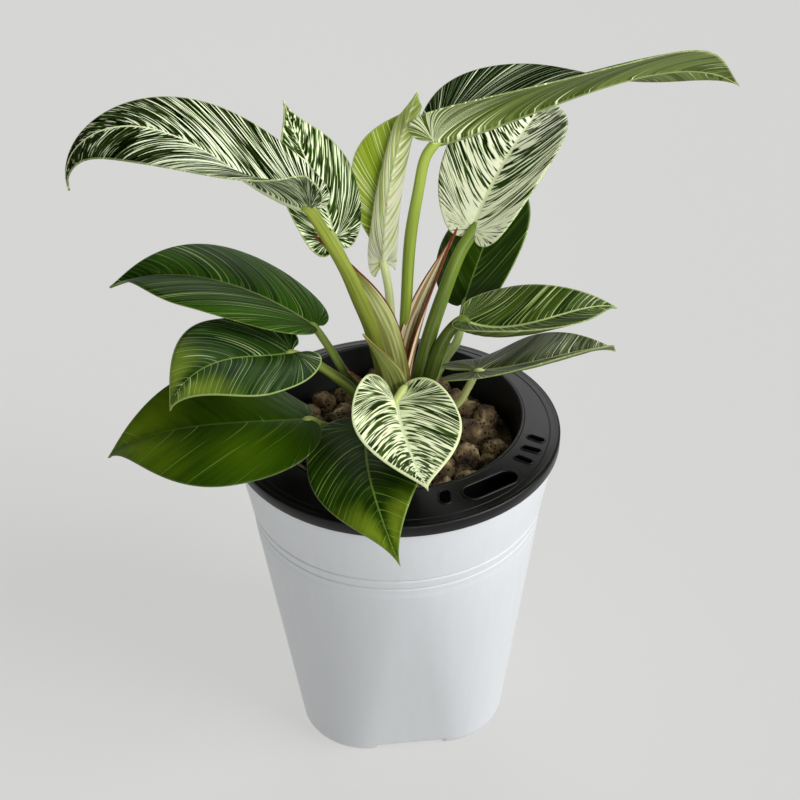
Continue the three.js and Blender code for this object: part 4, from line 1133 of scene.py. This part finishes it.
STALK_TONES = {
    "a": ("#3c440a", "#96a240", "#262f04"),
    "b": ("#6c8030", "#98aa5c", "#4b5e20"),
    "c": ("#cfd98c", "#e4ecaa", "#b2c06e"),
    "d": ("#6c8020", "#98aa48", "#506210"),
    "e": ("#34470a", "#74892e", "#223002"),
    "f": ("#7e9048", "#9dac68", "#586e30"),
    "g": ("#344608", "#586c1c", "#1e2a02"),
    "h": ("#aab464", "#cbd290", "#8a9448"),
    "i": ("#a3b35e", "#bdc980", "#849444"),
    "j": ("#8a9c48", "#99ac50", "#64763a"),
    "k": ("#80903c", "#97a755", "#606e30"),
    "l": ("#4a5a14", "#8d9d48", "#283404"),
    "m": ("#5c6e2a", "#8a9c4a", "#3c4a1c"),
}


def smooth_path(stops, count):
    """A Catmull-Rom path through points with radii, sampled evenly in its parameter."""
    stops = np.asarray(stops, float)
    padded = np.vstack([2 * stops[0] - stops[1], stops, 2 * stops[-1] - stops[-2]])
    places = np.linspace(0, len(stops) - 1 - 1e-9, count)
    low = places.astype(int)
    t = (places - low)[:, None]
    p, q, r, s = (padded[low + k] for k in range(4))
    straight = 2 * q + (r - p) * t
    return (straight + (2 * p - 5 * q + 4 * r - s) * t**2 + (3 * q - p - 3 * r + s) * t**3) / 2


UNDER_FACE, INTO_RIB = 0.9, 4.0
for letter, leaf in LEAVES.items():
    along, _, face = midrib_frame(leaf, np.array([0.0]))
    under_base = np.array(leaf["junction"]) - face[0] * UNDER_FACE
    into_rib = under_base + along[0] * INTO_RIB
    radius_end = leaf["route"][-1][3]
    stops = [*leaf["route"], (*under_base, radius_end * 0.9), (*into_rib, radius_end * 0.45)]
    path = smooth_path(stops, 12 * len(stops))
    skin = stalk_material(f"stalk_skin_{letter}_smooth", *STALK_TONES[letter])
    stalk = swept(f"petiole_{letter}_stalk", path[:, :3], path[:, 3], skin, sides=20)
    finish_piece(stalk, "petiole", f"petiole_{letter}")

# %% [markdown]
# The stem is short and thick, ringed by the scars of old leaves. Its bark is half green, half
# corky brown and dull, so it takes the stalk's finish with other tones and more roughness.

# %% Crown
STEM_FOOT, STEM_TALL = 140.2, 45.4
STEM_R, SCAR_DEEP, SCARS = 11.6, 0.5, 16
TIP_FROM, TIP_R = 0.84, 0.8

bark = stalk_material("stem_bark_green", "#5a5a30", "#6f7a3e", "#3b3420", 0.6)
share = np.linspace(0, 1, 60)
path = [(*STEM_PLACE, STEM_FOOT + STEM_TALL * part) for part in share]
swell = STEM_R - SCAR_DEEP * np.abs(np.sin(share * SCARS))
swell = swell - 11 * np.clip(share - TIP_FROM, 0, 1) ** 1.2 * 6
crown = swept("crown_ringed", path, np.maximum(swell, TIP_R), bark, sides=32)
finish_piece(crown, "stem", "crown")

# %% [markdown]
# ## Sheaths
#
# Each new leaf comes out of a sheath that dries to brown paper and stays for a while. A sheath
# is a narrow leaf without lobes, folded about the stalks, so the leaf functions make it too.
# Its finish is the leaf's with long fibres in place of pinstripes: pale, dull and papery, with
# a red-brown edge where it dried first.

# %% Sheaths
PAPER = dict(
    LEAF, deep="#5c6026", green="#787c40", pale="#94985a", cream="#b2b67e", band_mm=40,
    line_mm=30, run=7.0, level=(0.5, 0.54), lines=0.2, edge=0.18, vein=0.0, rib=0.1,
    rib_tone="#a9a66c", rib_reach=1.0, rim=0.9, rim_mm=0.9, rim_tone="#74402c", rough=0.55,
    gloss=0.15,
)
PAPERS = {
    "left": dict(PAPER, rim=1.0, rim_mm=1.3, rim_tone="#5e2a1c"),
    "right": dict(
        PAPER, deep="#85603f", green="#9a8058", pale="#bcae84", cream="#d2c8a4", edge=0.05,
        rim=1.0, rim_mm=1.3, rim_tone="#6a2c26", rib=0.7, rib_tone="#7a3c30", rib_reach=1.2,
    ),
    "front": dict(PAPER, deep="#6c7630", green="#828a44", pale="#929a58", cream="#a6ab6c", rim=0.5),
    "dry": dict(PAPER, deep="#5a4526", green="#74603a", pale="#9a8558", cream="#b5a074"),
}
PAPERY = dict(rows=64, columns=10, rib_width=0.5, pleat=0.0, wave=0.3)
for number, (place, leaf) in enumerate(SHEATHS.items()):
    paper = leaf_material(f"sheath_paper_{place}", PAPERS[place], number + 41)
    sheet = leaf_sheet(f"sheath_{place}_papery", leaf, PAPERS[place], **PAPERY)
    sheath = with_tree(sheet, leaf_tree, Upper=paper, Under=paper)
    finish_piece(sheath, "sheath", f"sheath_{place}")

# %% [markdown]
# ## Floor and light
#
# A plain pale studio. The floor is a lit table, a sheet of paper that glows a little, so the
# shadows on it stay faint, and far away it curves up into a low wall, so that no edge shows.
# Round it is a dim even surround. A broad soft sun from the right and above leaves the left of
# the pot in soft shade, a weaker one from behind draws the leaves' rims, and a softbox with a
# narrow spread lifts the upper leaves at the front.

# %% Stage
FLOOR_R, CURVE_R, WALL_TOP = 5400, 600, 1100
FLOOR_DROP = 0.2
FLOOR_SIDES = 96

studio_paper, tree, shader = new_material("studio_floor_paper")
looks = {
    "Base Color": colour("#727271"),
    "Roughness": 0.9,
    "Specular IOR Level": 0.0,
    "Emission Color": colour("#d7d7d5"),
    "Emission Strength": 0.78,
}
set_inputs(tree, shader, looks)
turn = np.linspace(0, math.pi / 2, 9)
rise = CURVE_R - CURVE_R * np.cos(turn) - FLOOR_DROP
profile = [(1.0, -FLOOR_DROP), *zip(FLOOR_R + CURVE_R * np.sin(turn), rise)]
profile.append((FLOOR_R + CURVE_R, WALL_TOP))
points, faces = turned(profile, sides=FLOOR_SIDES)
open_faces = [face[::-1] for face in faces[: FLOOR_SIDES * (len(profile) - 1)]]
floor = mesh_object("studio_floor", points, open_faces, studio_paper)

world = bpy.data.worlds.new("studio_surround")
bpy.context.scene.world = world
world.use_nodes = True
surround = {"Color": colour("#f3f4f4"), "Strength": 0.15}
set_inputs(world.node_tree, world.node_tree.nodes["Background"], surround)


def light(name, kind, strength, facing, **settings):
    """A light that shines from a direction, with the settings of its kind."""
    data = bpy.data.lights.new(name, kind)
    data.energy = strength
    for key, value in settings.items():
        setattr(data, key, value)
    lamp = new_object(name, data)
    lamp.rotation_euler = Vector(facing).to_track_quat("Z", "Y").to_euler()
    return lamp


light("key", "SUN", 2.7, (0.75, -0.28, 0.6), angle=math.radians(40))
light("back", "SUN", 0.8, (0.0, 0.8, 0.6), angle=math.radians(40))
place, target = Vector((180, -600, 540)), Vector((40, 60, 330))
box = dict(size=260 * MM, spread=math.radians(34))
softbox = light("front_softbox", "AREA", 0.23, place - target, **box)
softbox.location = place * MM
